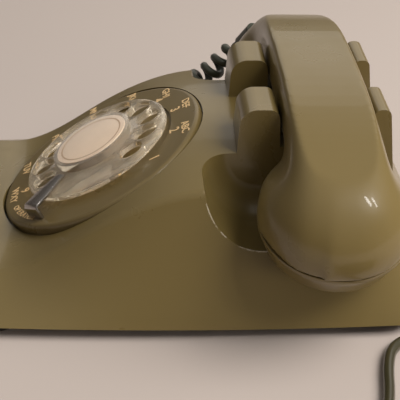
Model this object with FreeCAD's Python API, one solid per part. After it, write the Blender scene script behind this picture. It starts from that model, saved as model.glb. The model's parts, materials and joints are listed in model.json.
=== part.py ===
"""Rotary-dial desk telephone with a lift-off handset, a curly handset cord and a line cord.

Millimetres, +Z up, the user in front at -Y, the user's right at +X.  The origin is on the table
under the middle of the set.  One STEP file is written for each sub-part.
"""
import FreeCAD
import Part

import math
import os

from FreeCAD import Placement, Rotation, Vector

# Body: the moulded housing and its pan
body_depth = 222.0
base_half_width = 92.0
base_side_bow = 5.5
bow_centre_y = 20.0
base_corner_radius = 26.0
wall = 3.0
pan_thickness = 2.0
pan_clearance = 0.5
crease_radius = 5.0
lip_radius = 6.0
lip_height = 10.5
rear_wall_height = 18.0
shoulder_drop = 7.0
trim_margin = 0.8
least_round = 1.0

# Body sections: crease half widths past the dial recess, crowns, and where they stand
crease_past_front = 6.0
crease_past_low = 8.0
crease_past_dial = 9.5
crease_past_shoulder = 10.0
crease_past_back = 9.0
crease_past_rear = 8.0
lip_crown = 0.5
dial_crown = 1.6
back_crown = 5.0
rear_crown = 2.0
dial_low_share = 0.92
dial_high_share = 0.8
face_rise = 0.3
face_drop = 2.0
saddle_station_in = 14.0
back_station_past = 9.0
back_drop = 26.0
crease_inset_share = 0.8
lip_sink = 0.05

# Feet
foot_height = 5.5
foot_radius = 9.0
foot_top_radius = 10.5
foot_inset_x = 17.5
foot_inset_front = 26.0
foot_inset_rear = 24.0

# Dial face: where the dial sits and how it leans
dial_inset = 70.0
dial_centre_z = 44.0
dial_tilt = 28.0

# Dial: number plate, wheel, card and stop
plate_radius = 54.0
plate_thickness = 5.0
plate_rim_round = 2.0
plate_dish = 1.0
plate_clearance = 0.8
dial_ledge_width = 10.0
wheel_radius = 38.0
wheel_thickness = 3.2
wheel_lift = 1.8
wheel_bevel = 1.2
finger_hole_radius = 6.3
finger_hole_circle = 29.3
finger_hole_count = 10
dial_pitch = 27.7
first_hole_angle = 48.0
hub_radius = 20.6
hub_height = 3.6
card_radius = 18.6
card_thickness = 0.4
retainer_thickness = 1.4
retainer_round = 0.8
stop_angle = 132.0
stop_width = 9.5
stop_tip_width = 4.5
stop_shoulder = 5.0
stop_thickness = 1.6
stop_clearance = 1.0
stop_reach = 22.0
stop_root_radius = 47.0
shaft_radius = 3.0
running_clearance = 0.06
running_gap = 0.4

# Dial works behind the plate
dial_back_thickness = 3.0
dial_back_clearance = 0.6
press_clearance = 0.02
gear_module = 1.0
gear_teeth = 48
pinion_teeth = 12
gear_thickness = 2.4
gear_gap = 2.0
gear_mesh_slack = 0.4
governor_cup_radius = 9.0
governor_cup_height = 6.0
governor_shaft_radius = 1.5
works_gap = 1.2
bridge_thickness = 2.0
bridge_half_width = 16.0
pillar_radius = 2.5
bracket_thickness = 2.0
bracket_half = 9.0

# Cradle: four ears around the saddle
cradle_half_width = 39.5
ear_gap_half = 15.0
ear_tip_z = 86.5
ear_front_reach = 38.5
ear_rear_reach = 28.5
ear_round = 4.8
ear_rear_round = 3.2
ear_front_round = 8.0
ear_lean = 5.0
saddle_lean = 1.0
gap_drop = 4.5
handle_side_clearance = 1.4

# Scoops under the ends of the handset
scoop_front_reach = 50.5
scoop_rear_reach = 36.0
scoop_floor_z = 36.5
scoop_round = 25.0
scoop_lean = 7.0

# Handset
handset_inset = 49.0
handle_half_width = 20.0
handle_thickness = 24.0
handle_top_z = 94.0
handle_arch = 13.7
arch_reach = 92.0
arch_power = 2.6
arch_steps = 24
handle_crown = 2.6
handle_straight = 25.0
handle_squareness = 4.0
grip_points = 24
cup_centre_x = 77.0
cup_seam_z = 53.0
cup_tilt = 18.0
cup_radius = 34.0
cup_wall = 3.0
cup_bore_depth = 17.0
cap_height = 13.6
cap_face_radius = 29.5
cap_wall = 2.4
cap_bevel = 2.0
cap_edge = 1.2
cap_inset = 0.6
bore_share = 0.7
capsule_bevel = 1.5
seam_gap = 0.9
capsule_radius = 25.0
capsule_height = 12.0
cap_hole_radius = 1.7
# Outlines from the grip to a cup: inner step back and fall, outer step back and fall, widening, squareness
fan_sections = (
    (6.7, 0.6, 59.3, 0.2, 0.0, 4.0),
    (2.7, 1.8, 37.3, 5.2, 0.04, 3.6),
    (0.9, 3.4, 17.3, 13.7, 0.21, 3.2),
    (0.3, 4.8, 5.3, 25.0, 0.64, 2.6),
    (0.1, 5.7, -1.2, 38.0, 0.93, 2.2),
)
handset_rest_gap = 0.4

# Hook switch
plunger_x = 27.5
plunger_radius = 4.5
plunger_flange = 2.0
plunger_stem_radius = 2.0
plunger_stem = 4.0
plunger_travel = 6.0
plunger_clearance = 0.35
lever_pivot_past = 22.5
lever_thickness = 2.0
lever_arm_width = 8.0
lever_arm_past = 6.0
lever_gap = 0.7
lever_pin_radius = 2.0
hook_frame_thickness = 2.0
hook_frame_depth = 8.0
contact_height = 24.0
contact_width = 26.0
contact_depth = 14.0
leaf_count = 5
leaf_thickness = 0.6

# Ringer
ringer_x = -16.0
gong_radius = 18.0
gong_height = 13.0
gong_wall = 1.6
gong_spacing = 52.0
gong_x = -56.0
gong_top_z = 27.0
ringer_inset = 81.0
post_radius = 3.0
clapper_ball_radius = 3.4
clapper_ball_steps = 9
clapper_rod_radius = 0.9
clapper_length = 26.0
coil_radius = 9.0
coil_length = 26.0
coil_core_radius = 3.0
ringer_frame_thickness = 2.0
volume_wheel_radius = 12.0
volume_wheel_thickness = 3.0
volume_wheel_teeth = 24
volume_wheel_drop = 3.0
volume_wheel_past = 31.0

# Network block
network_length = 56.0
network_width = 50.0
network_height = 22.0
network_share = 0.5
network_inset = 81.0
network_round = 2.0
terminal_radius = 2.4
terminal_height = 1.6
terminal_pitch = 11.0

# Cords
line_cord_radius = 2.5
cord_sides = 6
curl_wire_radius = 2.3
curl_radius = 4.6
curl_pitch = 8.4
relief_radius = 5.0
relief_tip_radius = 3.4
relief_length = 14.0
relief_seat = 5.0
relief_clearance = 0.2
cord_clearance = 0.3
handset_cord_exit_past = 15.0
line_cord_exit_x = 48.0
cord_exit_z = 13.0
coil_inner_radius = 17.0
coil_layer_turns = 4
coil_step = 5.6
tie_thickness = 1.0
tie_width = 7.0
tie_clearance = 0.4
plug_width = 11.0
plug_height = 7.0
plug_length = 20.0

# Fasteners
screw_radius = 3.2
screw_height = 2.0
screw_inset = 15.0

# Places worked out from the sizes above
UP = Vector(0, 0, 1)
RIGHT = Vector(1, 0, 0)
BACK = Vector(0, 1, 0)
front_y = -body_depth / 2
rear_y = body_depth / 2
dial_centre_y = front_y + dial_inset
handset_y = rear_y - handset_inset
ear_front_y = handset_y - ear_front_reach
ear_rear_y = handset_y + ear_rear_reach
scoop_front_y = handset_y - scoop_front_reach
scoop_rear_y = handset_y + scoop_rear_reach
lever_pivot_y = handset_y + lever_pivot_past
handset_cord_exit_y = handset_y + handset_cord_exit_past
ringer_y = rear_y - ringer_inset
network_x = base_half_width * network_share
network_y = rear_y - network_inset
dial_place = Placement(Vector(0, dial_centre_y, dial_centre_z), Rotation(RIGHT, dial_tilt))
recess_floor = -plate_thickness
dial_opening_radius = plate_radius - dial_ledge_width
pan_top_z = foot_height + pan_thickness


def arch_fall(x):
    """How far the handle's arch falls at a place along it."""
    return handle_arch * (abs(x) / arch_reach) ** arch_power


def handle_bottom_z(x):
    """Height of the underside of the handle's arch at a place along it."""
    return handle_top_z - handle_thickness - arch_fall(x)


saddle_floor_z = handle_bottom_z(cradle_half_width) - handset_rest_gap
gap_floor_z = saddle_floor_z - gap_drop
hub_top = wheel_lift + wheel_thickness + hub_height
gear_low = recess_floor - dial_back_thickness - gear_gap - running_gap - gear_thickness
bridge_top = gear_low - governor_cup_height - 2 * works_gap
governor_x = gear_module * (gear_teeth + pinion_teeth) / 2 + gear_mesh_slack
pillar_x = gear_module * gear_teeth / 2 + 3 * pillar_radius
pillar_spread = governor_cup_radius + pillar_radius + works_gap
flange_low = saddle_floor_z - wall - trim_margin - plunger_travel - running_gap - plunger_flange
lever_top_z = flange_low - plunger_stem - lever_gap
hook_frame_x = plunger_x + lever_arm_width / 2 + running_gap
volume_wheel_y = ringer_y + volume_wheel_past
volume_wheel_z = volume_wheel_radius + volume_wheel_drop
coil_z = pan_top_z + ringer_frame_thickness + coil_radius + running_gap
clapper_z = gong_top_z - 0.75 * gong_height
clapper_pivot_x = gong_x + clapper_length


def prism(points, direction):
    """Solid swept along direction from a closed outline of points."""
    outline = [Vector(*p) for p in points]
    return Part.Face(Part.makePolygon(outline + outline[:1])).extrude(Vector(*direction))


def cylinder(radius, height, base, axis=UP):
    """Round bar from base along axis."""
    return Part.makeCylinder(radius, height, Vector(*base), Vector(*axis))


def tube(outer, inner, height, base, axis=UP):
    """Round bar with a bore."""
    bore_base = Vector(*base) - Vector(*axis) * 1.0
    return cylinder(outer, height, base, axis).cut(cylinder(inner, height + 2.0, bore_base, axis))


def box(x0, x1, y0, y1, z0, z1):
    """Block between two corners."""
    return Part.makeBox(x1 - x0, y1 - y0, z1 - z0, Vector(x0, y0, z0))


def turned(outline):
    """Solid turned about Z from (radius, height) points."""
    points = [Vector(r, 0, h) for r, h in outline]
    return Part.Face(Part.makePolygon(points + points[:1])).revolve(Vector(), UP, 360)


def placed(shape, placement):
    """Copy of a shape moved from a local frame to the set's frame."""
    copy = shape.copy()
    copy.Placement = placement.multiply(copy.Placement)
    return copy


def mirrored(shape):
    """Copy of a shape on the other side of the middle plane."""
    return shape.mirror(Vector(), RIGHT)


def edges_where(shape, test):
    """Edges whose middle point passes the test."""
    found = []
    for edge in shape.Edges:
        middle = edge.valueAt((edge.FirstParameter + edge.LastParameter) / 2)
        if test(middle, edge):
            found.append(edge)
    return found


def base_half_at(y):
    """Half width of the bowed base edge at a depth."""
    reach = (y - bow_centre_y) / (bow_centre_y - front_y)
    return base_half_width - base_side_bow * reach * reach


def dial_plane_z(y, offset=0.0):
    """Height of the dial's face plane, moved along its normal, at a depth."""
    lean = math.radians(dial_tilt)
    return dial_centre_z + (y - dial_centre_y) * math.tan(lean) + offset / math.cos(lean)


def body_stations():
    """Cross sections from front to rear: depth, crease half width, crease height, crown."""
    side = plate_radius + plate_clearance
    low_y = dial_centre_y - dial_low_share * plate_radius
    high_y = dial_centre_y + dial_high_share * plate_radius
    shoulder = side + crease_past_shoulder
    saddle_crease_z = saddle_floor_z - shoulder_drop
    return [
        (front_y, side + crease_past_front, foot_height + lip_height, lip_crown),
        (low_y, side + crease_past_low, dial_plane_z(low_y, face_rise), lip_crown),
        (dial_centre_y, side + crease_past_dial, dial_plane_z(dial_centre_y, -face_drop), dial_crown),
        (high_y, shoulder, dial_plane_z(high_y, -shoulder_drop), shoulder_drop),
        (ear_front_y + saddle_station_in, shoulder, saddle_crease_z, shoulder_drop),
        (ear_rear_y - saddle_station_in, shoulder, saddle_crease_z, shoulder_drop),
        (ear_rear_y + back_station_past, side + crease_past_back, saddle_floor_z - back_drop, back_crown),
        (rear_y, side + crease_past_rear, foot_height + rear_wall_height, rear_crown),
    ]


def other_side(point):
    """Point mirrored across the middle plane."""
    return Vector(-point.x, point.y, point.z)


def section_wire(base, crease, crown, radius):
    """Cross section from the right base corner: flared sides, rounded creases and a crowned top."""
    side = (base - crease).normalize()
    rise = 2 * math.atan2(crown, crease.x)
    inward = Vector(-math.cos(rise), 0, math.sin(rise))
    half = side.getAngle(inward) / 2
    low = crease + side * (radius / math.tan(half))
    high = crease + inward * (radius / math.tan(half))
    middle = crease + (side + inward).normalize() * (radius / math.sin(half) - radius)
    top = Vector(0, crease.y, crease.z + crown)
    return Part.Wire([
        Part.LineSegment(other_side(base), base).toShape(),
        Part.LineSegment(base, low).toShape(),
        Part.Arc(low, middle, high).toShape(),
        Part.Arc(high, top, other_side(high)).toShape(),
        Part.Arc(other_side(high), other_side(middle), other_side(low)).toShape(),
        Part.LineSegment(other_side(low), other_side(base)).toShape(),
    ])


def body_loft(inset, bottom_z):
    """Flared body with a crowned top between the base edge and the creases, drawn in by an inset."""
    wires = []
    stations = body_stations()
    radius = max(crease_radius - inset, least_round)
    for index, (y, crease, height, crown) in enumerate(stations):
        at = y
        if index == 0:
            at = y + inset
        if index == len(stations) - 1:
            at = y - inset
        base = Vector(base_half_at(y) - inset, at, bottom_z)
        corner = Vector(crease - crease_inset_share * inset, at, height - inset)
        wires.append(section_wire(base, corner, crown, radius))
    return Part.makeLoft(wires, True, False)


def lip_bar():
    """Bar whose hollow rounds the upper edge of the front lip."""
    slope_end = body_stations()[1]
    lip_z = foot_height + lip_height + lip_crown
    slope = (slope_end[2] + slope_end[3] - lip_z) / (slope_end[0] - front_y)
    top = lip_z + slope * lip_radius + lip_sink
    start = Vector(-base_half_width, front_y - lip_sink, top - lip_radius)
    end = Vector(-base_half_width, start.y + lip_radius, top)
    turn = math.radians(45.0)
    half_rise = lip_radius * math.sin(turn)
    middle = Vector(-base_half_width, end.y - half_rise, start.z + half_rise)
    above = Vector(-base_half_width, end.y, 2 * top)
    before = Vector(-base_half_width, start.y - lip_radius, 2 * top)
    low = Vector(-base_half_width, before.y, start.z)
    corners = [end, above, before, low, start]
    edges = [Part.Arc(start, middle, end).toShape()]
    for index in range(len(corners) - 1):
        edges.append(Part.LineSegment(corners[index], corners[index + 1]).toShape())
    return Part.Face(Part.Wire(edges)).extrude(RIGHT * (2 * base_half_width))


def plan_prism(inset, bottom_z, height):
    """Upright block with the base's plan: bowed sides and round corners."""
    front, rear = front_y + inset, rear_y - inset
    x_front, x_rear = base_half_at(front_y) - inset, base_half_at(rear_y) - inset
    x_mid = base_half_width - inset
    corners = [Vector(x_front, front, bottom_z), Vector(x_rear, rear, bottom_z)]
    left = [Vector(-v.x, v.y, v.z) for v in corners]
    edges = [
        Part.Arc(corners[0], Vector(x_mid, bow_centre_y, bottom_z), corners[1]).toShape(),
        Part.LineSegment(corners[1], left[1]).toShape(),
        Part.Arc(left[1], Vector(-x_mid, bow_centre_y, bottom_z), left[0]).toShape(),
        Part.LineSegment(left[0], corners[0]).toShape(),
    ]
    block = Part.Face(Part.Wire(edges)).extrude(UP * height)
    upright = edges_where(block, lambda m, e: abs(m.z - bottom_z - height / 2) < 0.1 * height)
    return block.makeFillet(base_corner_radius - inset, upright)


def cradle_block(inset, bottom_z):
    """Raised block under the saddle with its front and rear ears, drawn in by an inset."""
    inner_front = handset_y - handle_half_width - handle_side_clearance
    inner_rear = handset_y + handle_half_width + handle_side_clearance
    points = [
        (ear_front_y - ear_lean, bottom_z),
        (ear_front_y, ear_tip_z),
        (inner_front, ear_tip_z),
        (inner_front + saddle_lean, saddle_floor_z),
        (inner_rear - saddle_lean, saddle_floor_z),
        (inner_rear, ear_tip_z),
        (ear_rear_y, ear_tip_z),
        (ear_rear_y + 2 * ear_lean, bottom_z),
    ]
    half = cradle_half_width - inset
    if inset:
        points = [
            (ear_front_y - ear_lean + inset, bottom_z),
            (ear_front_y + inset, saddle_floor_z - inset),
            (ear_rear_y - inset, saddle_floor_z - inset),
            (ear_rear_y + 2 * ear_lean - inset, bottom_z),
        ]
    return prism([(-half, y, z) for y, z in points], (2 * half, 0, 0))


def scoop_cut(grow):
    """Rounded hollow in the right shoulder, under the end of the handset, widened by grow."""
    x0 = cradle_half_width - grow
    floor = scoop_floor_z - grow
    top = ear_tip_z + 2 * scoop_round
    spread = scoop_lean * (top - floor) / (saddle_floor_z - floor)
    points = [
        (x0, scoop_front_y - grow - spread, top),
        (x0, scoop_front_y - grow, floor),
        (x0, scoop_rear_y + grow, floor),
        (x0, scoop_rear_y + grow + spread, top),
    ]
    cut = prism(points, (2 * base_half_width, 0, 0))
    low = edges_where(cut, lambda m, e: abs(m.z - floor) < 0.1 and m.x > x0 + 1.0)
    lengthwise = [e for e in low if abs(e.Vertexes[0].X - e.Vertexes[1].X) > 1.0]
    cut = cut.makeFillet(scoop_round, lengthwise)
    inner = edges_where(cut, lambda m, e: abs(m.x - x0) < 0.01 and m.z < top - 1.0)
    return cut.makeFillet(scoop_round / 2, inner)


def in_dial(shape):
    """Shape moved from the dial's own frame, its Z along the dial's normal."""
    return placed(shape, dial_place)


def trimmed_body(inset, bottom_z):
    """Flared body with its round plan corners, drawn in by an inset."""
    trim = plan_prism(inset - trim_margin, bottom_z - trim_margin, 2 * ear_tip_z)
    return body_loft(inset, bottom_z).common(trim)


def tip_edges(cradle, near_y, far_y):
    """Crosswise edges at the tips of the ears between two depths."""
    return edges_where(cradle, lambda m, e: m.z > ear_tip_z - 0.1 and abs(m.x) < 0.1 and near_y < m.y < far_y)


def make_housing():
    """Moulded shell: flared body, cradle with four ears, dial recess, scoops and guide holes."""
    far = 2 * body_depth
    body = trimmed_body(0.0, foot_height).cut(lip_bar())
    scoop = scoop_cut(0.0)
    body = body.cut(scoop).cut(mirrored(scoop))

    cradle = cradle_block(0.0, foot_height + wall)
    front_split = ear_front_y + ear_round
    cradle = cradle.makeFillet(ear_front_round, tip_edges(cradle, -far, front_split))
    cradle = cradle.makeFillet(ear_round, tip_edges(cradle, front_split, handset_y))
    cradle = cradle.makeFillet(ear_rear_round, tip_edges(cradle, handset_y, far))
    gap = box(-ear_gap_half, ear_gap_half, -far, far, gap_floor_z, far)
    gap_edges = edges_where(gap, lambda m, e: abs(m.z - gap_floor_z) < 0.1 and abs(m.y) < 0.1)
    gap = gap.makeFillet(ear_round, gap_edges)
    reach = handle_half_width + handle_side_clearance
    floor_reach = reach - saddle_lean
    profile = [(-reach, far), (reach, far), (floor_reach, saddle_floor_z), (-floor_reach, saddle_floor_z)]
    left = -cradle_half_width
    saddle = prism([(left, handset_y + y, z) for y, z in profile], (2 * cradle_half_width, 0, 0))
    trough = gap.common(box(-far, far, handset_y - reach, handset_y + reach, 0, far))
    outer = body.cut(saddle).fuse(cradle.cut(gap)).cut(trough).removeSplitter()

    hollow = trimmed_body(wall, foot_height - wall)
    thick_scoop = scoop_cut(wall)
    hollow = hollow.cut(thick_scoop).cut(mirrored(thick_scoop))
    hollow = hollow.fuse(cradle_block(wall + trim_margin, foot_height + 2 * wall))
    ceiling_half = ear_gap_half + ear_round
    ceiling = box(-ceiling_half, ceiling_half, -far, far, gap_floor_z - wall, far)
    shell = outer.cut(hollow.cut(ceiling))

    ledge_depth = plate_thickness + wall
    ledge = in_dial(cylinder(plate_radius + wall, ledge_depth, (0, 0, -ledge_depth)))
    shell = shell.fuse(ledge.common(outer))
    recess = cylinder(plate_radius + plate_clearance, 2 * plate_radius, (0, 0, recess_floor))
    opening = cylinder(dial_opening_radius, 2 * plate_radius, (0, 0, -plate_radius))
    shell = shell.cut(in_dial(recess)).cut(in_dial(opening))

    for side in (-1, 1):
        start = (side * plunger_x, handset_y, saddle_floor_z - 3 * wall)
        shell = shell.cut(cylinder(plunger_radius + plunger_clearance, far, start))
    bore = relief_radius + relief_clearance
    outside = -base_half_width - relief_length
    shell = shell.cut(cylinder(bore, base_half_width / 2, (outside, handset_cord_exit_y, cord_exit_z), RIGHT))
    shell = shell.cut(cylinder(bore, 4 * wall, (line_cord_exit_x, rear_y - 2 * wall, cord_exit_z), BACK))
    return shell.removeSplitter()


def make_pan():
    """Flat steel pan inside the housing's lower edge, with holes for feet, screws and the wheel."""
    inset = wall + pan_clearance
    pan = plan_prism(inset, foot_height, pan_thickness)
    pan = pan.common(trimmed_body(inset, foot_height - wall))
    slot_x, slot_y = ringer_x, volume_wheel_y
    slot = box(slot_x - volume_wheel_thickness, slot_x + volume_wheel_thickness,
               slot_y - volume_wheel_radius, slot_y + volume_wheel_radius, 0.0, 2 * foot_height)
    return pan.cut(slot)


def foot_centres():
    """Places of the four feet."""
    places = []
    for side in (-1, 1):
        for y in (front_y + foot_inset_front, rear_y - foot_inset_rear):
            places.append((side * (base_half_width - foot_inset_x), y))
    return places


def make_feet():
    """Four tapered rubber feet under the pan."""
    foot = turned([(0, 0), (foot_radius, 0), (foot_top_radius, foot_height), (0, foot_height)])
    spots = [Placement(Vector(x, y, 0), Rotation()) for x, y in foot_centres()]
    return Part.makeCompound([placed(foot, spot) for spot in spots])


def make_screws():
    """Pan screws: round heads under the pan on the middle line."""
    low = foot_height - screw_height
    heads = []
    for x in (-screw_inset, screw_inset):
        for y in (front_y + screw_inset, rear_y - screw_inset):
            heads.append(cylinder(screw_radius, screw_height, (x, y, low)))
    return Part.makeCompound(heads)


def dial_spot(radius, angle, z=0.0):
    """Point on the dial at a clockwise angle from its top, in the dial's own frame."""
    turn = math.radians(angle)
    return (radius * math.sin(turn), radius * math.cos(turn), z)


def make_number_plate():
    """Dished plate with a rounded rim that carries the numbers."""
    low = recess_floor
    disc = cylinder(plate_radius, plate_thickness, (0, 0, low))
    rim = edges_where(disc, lambda m, e: m.z > -0.01)
    disc = disc.makeFillet(plate_rim_round, rim)
    well = cylinder(wheel_radius + wheel_bevel, plate_thickness, (0, 0, -plate_dish))
    disc = disc.cut(well)
    return in_dial(disc.cut(cylinder(2 * shaft_radius, 4 * plate_thickness, (0, 0, 2 * low))))


def make_finger_wheel():
    """Clear wheel with ten finger holes and a raised hub."""
    low, high = wheel_lift, wheel_lift + wheel_thickness
    outer = wheel_radius
    wheel = turned([
        (0, low), (outer, low), (outer, high - wheel_bevel), (outer - wheel_bevel, high),
        (hub_radius, high), (hub_radius, high + hub_height), (0, high + hub_height),
    ])
    for index in range(finger_hole_count):
        spot = dial_spot(finger_hole_circle, first_hole_angle - index * dial_pitch, low - wheel_thickness)
        wheel = wheel.cut(cylinder(finger_hole_radius, 3 * wheel_thickness, spot))
    bore = cylinder(shaft_radius + press_clearance, wheel_thickness + hub_height / 2 + low, (0, 0, 0))
    return in_dial(wheel.cut(bore))


def make_number_card():
    """Round paper card on the hub."""
    return in_dial(cylinder(card_radius, card_thickness, (0, 0, hub_top)))


def make_retainer():
    """Clear cover that holds the card down, with a lip on the hub."""
    low, card_top = hub_top, hub_top + card_thickness
    high = card_top + retainer_thickness
    lip = card_radius + (hub_radius - card_radius) / 4
    ring = turned([
        (0, card_top), (lip, card_top), (lip, low), (hub_radius, low),
        (hub_radius, high - retainer_round), (hub_radius - retainer_round, high), (0, high),
    ])
    return in_dial(ring)


def make_finger_stop():
    """Bent steel hook from the plate's rim in over the wheel."""
    rise = wheel_lift + wheel_thickness + stop_clearance
    top = rise + stop_thickness
    root, tip = stop_root_radius, stop_root_radius - stop_reach
    outer = root + stop_thickness
    profile = [
        (outer, 0), (outer, top - stop_thickness), (root, top), (tip, top),
        (tip - stop_thickness, rise), (tip, rise), (root, rise), (root, 0),
    ]
    half, tip_half, low = stop_width / 2, stop_tip_width / 2, tip - stop_thickness
    hook = prism([(-half, r, z) for r, z in profile], (stop_width, 0, 0))
    plan = [(-half, outer), (half, outer), (half, root - stop_shoulder), (tip_half, low),
            (-tip_half, low), (-half, root - stop_shoulder)]
    hook = hook.common(prism([(x, r, 0) for x, r in plan], (0, 0, top)))
    turn = Placement(Vector(), Rotation(UP, -stop_angle))
    return in_dial(placed(hook, turn))


def gear(teeth, thickness, base, phase):
    """Spur wheel with straight-flanked teeth."""
    pitch_radius = gear_module * teeth / 2
    root, tip = pitch_radius - 1.25 * gear_module, pitch_radius + 0.75 * gear_module
    step = 2 * math.pi / teeth
    outline = []
    for index in range(teeth):
        middle = phase + index * step
        for radius, share in ((root, -0.29), (tip, -0.11), (tip, 0.11), (root, 0.29)):
            turn = middle + share * step
            outline.append((radius * math.cos(turn), radius * math.sin(turn), 0))
    wheel = prism(outline, (0, 0, thickness))
    return placed(wheel, Placement(Vector(*base), Rotation()))


def make_dial_back():
    """Round casting behind the plate with the bearing boss, the pillars and a rear bridge."""
    low = recess_floor - dial_back_thickness
    body = cylinder(dial_opening_radius - dial_back_clearance, dial_back_thickness, (0, 0, low))
    body = body.fuse(cylinder(2 * shaft_radius, gear_gap, (0, 0, low - gear_gap)))
    pillar_length = low - bridge_top
    left, right = -pillar_x, governor_x
    spots = [(left, 0), (right, pillar_spread), (right, -pillar_spread)]
    for x, y in spots:
        body = body.fuse(cylinder(pillar_radius, pillar_length, (x, y, bridge_top)))
    end = 2 * pillar_radius
    bridge = box(left - end, right + end, -bridge_half_width, bridge_half_width,
                 bridge_top - bridge_thickness, bridge_top)
    body = body.fuse(bridge)
    body = body.cut(cylinder(shaft_radius + running_clearance, 3 * plate_radius, (0, 0, -plate_radius)))
    socket_length = plate_radius + dial_back_thickness / 2
    socket_base = (governor_x, 0, low - plate_radius)
    body = body.cut(cylinder(governor_shaft_radius + running_clearance, socket_length, socket_base))
    return in_dial(body.removeSplitter())


def make_dial_shaft():
    """Main spindle of the dial, from the bridge to the hub of the wheel."""
    low = bridge_top - bridge_thickness
    high = wheel_lift + wheel_thickness
    return in_dial(cylinder(shaft_radius, high - low, (0, 0, low)))


def make_main_gear():
    """Large wheel on the spindle."""
    wheel = gear(gear_teeth, gear_thickness, (0, 0, gear_low), 0.0)
    bore = cylinder(shaft_radius + press_clearance, 3 * gear_thickness, (0, 0, gear_low - gear_thickness))
    return in_dial(wheel.cut(bore))


def make_governor():
    """Pinion, spindle and brake cup of the speed governor."""
    low = bridge_top - bridge_thickness
    high = recess_floor - dial_back_thickness
    spindle = cylinder(governor_shaft_radius, high - low, (governor_x, 0, low))
    phase = math.pi + math.pi / pinion_teeth
    pinion = gear(pinion_teeth, gear_thickness, (governor_x, 0, gear_low), phase)
    cup_low = bridge_top + works_gap
    cup = cylinder(governor_cup_radius, governor_cup_height, (governor_x, 0, cup_low))
    return in_dial(spindle.fuse(pinion).fuse(cup).removeSplitter())


def make_dial_bracket():
    """Two steel legs from the pan to the back of the dial."""
    low = recess_floor - dial_back_thickness
    ends = [dial_place.multVec(Vector(0, y, low)) for y in (-bracket_half, bracket_half)]
    points = [(ends[0].y, pan_top_z), (ends[1].y, pan_top_z), (ends[1].y, ends[1].z), (ends[0].y, ends[0].z)]
    x0 = governor_x + governor_cup_radius + works_gap
    leg = prism([(x0, y, z) for y, z in points], (bracket_thickness, 0, 0))
    toe = box(x0, x0 + 4 * bracket_thickness, ends[0].y, ends[1].y, pan_top_z, pan_top_z + bracket_thickness)
    leg = leg.fuse(toe).removeSplitter()
    return Part.makeCompound([leg, mirrored(leg)])


def make_plunger(side):
    """Cradle button: round head, flange under the saddle and a thin stem."""
    top = handle_bottom_z(plunger_x) - handset_rest_gap
    stem_low = flange_low - plunger_stem
    flange = plunger_radius + plunger_flange
    knob = turned([
        (0, stem_low), (plunger_stem_radius, stem_low), (plunger_stem_radius, flange_low),
        (flange, flange_low), (flange, flange_low + plunger_flange),
        (plunger_radius, flange_low + plunger_flange), (plunger_radius, top - 1.0),
        (plunger_radius - 1.0, top), (0, top),
    ])
    return placed(knob, Placement(Vector(side * plunger_x, handset_y, 0), Rotation()))


def make_hook_lever():
    """Lever under the two plungers, turning on a pin behind them."""
    half = lever_arm_width / 2
    top = lever_top_z
    low = top - lever_thickness
    reach = handset_y - lever_arm_past
    arms = []
    for side in (-1, 1):
        x = side * plunger_x
        arms.append(box(x - half, x + half, reach, lever_pivot_y, low, top))
    bar = box(-plunger_x, plunger_x, lever_pivot_y - half, lever_pivot_y, low, top)
    pin_length = 2 * (hook_frame_x + hook_frame_thickness)
    pin_start = (-pin_length / 2, lever_pivot_y, top - lever_thickness / 2)
    pin = cylinder(lever_pin_radius, pin_length, pin_start, RIGHT)
    return arms[0].fuse(arms[1]).fuse(bar).fuse(pin).removeSplitter()


def make_hook_frame():
    """Steel bracket on the pan with two cheeks that hold the lever's pin."""
    y0, y1 = lever_pivot_y - hook_frame_depth / 2, lever_pivot_y + hook_frame_depth / 2
    pin_z = lever_top_z - lever_thickness / 2
    top = pin_z + 2 * lever_pin_radius
    x1 = hook_frame_x + hook_frame_thickness
    frame = box(-x1, x1, y0, y1, pan_top_z, pan_top_z + hook_frame_thickness)
    for side in (-1, 1):
        x0 = hook_frame_x if side > 0 else -x1
        frame = frame.fuse(box(x0, x0 + hook_frame_thickness, y0, y1, pan_top_z, top))
    hole = cylinder(lever_pin_radius + running_clearance, 4 * x1, (-2 * x1, lever_pivot_y, pin_z), RIGHT)
    return frame.cut(hole).removeSplitter()


def make_contacts():
    """Stack of contact leaves on a block beside the lever."""
    low = pan_top_z + hook_frame_thickness
    y0 = lever_pivot_y - contact_depth / 2
    block = box(-contact_width / 2, contact_width / 2, y0, y0 + contact_depth, low, low + contact_height / 2)
    pitch = contact_depth / (leaf_count + 1)
    for index in range(leaf_count):
        y = y0 + (index + 1) * pitch
        leaf = box(-contact_width / 3, contact_width / 3, y - leaf_thickness / 2, y + leaf_thickness / 2,
                   low, low + contact_height)
        block = block.fuse(leaf)
    return block.removeSplitter()


def gong_places():
    """Depths of the two gongs either side of the clapper."""
    return (ringer_y - gong_spacing / 2, ringer_y + gong_spacing / 2)


def make_gong(y):
    """Bell cup on its post, open downwards."""
    low, high = gong_top_z - gong_height, gong_top_z
    inner = gong_radius - gong_wall
    cup = turned([
        (post_radius + running_clearance, high - gong_wall), (inner * 0.7, high - gong_wall),
        (inner, high - gong_height / 2), (inner, low), (gong_radius, low),
        (gong_radius, high - gong_height / 2), (gong_radius * 0.75, high),
        (post_radius + running_clearance, high),
    ])
    return placed(cup, Placement(Vector(gong_x, y, 0), Rotation()))


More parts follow.
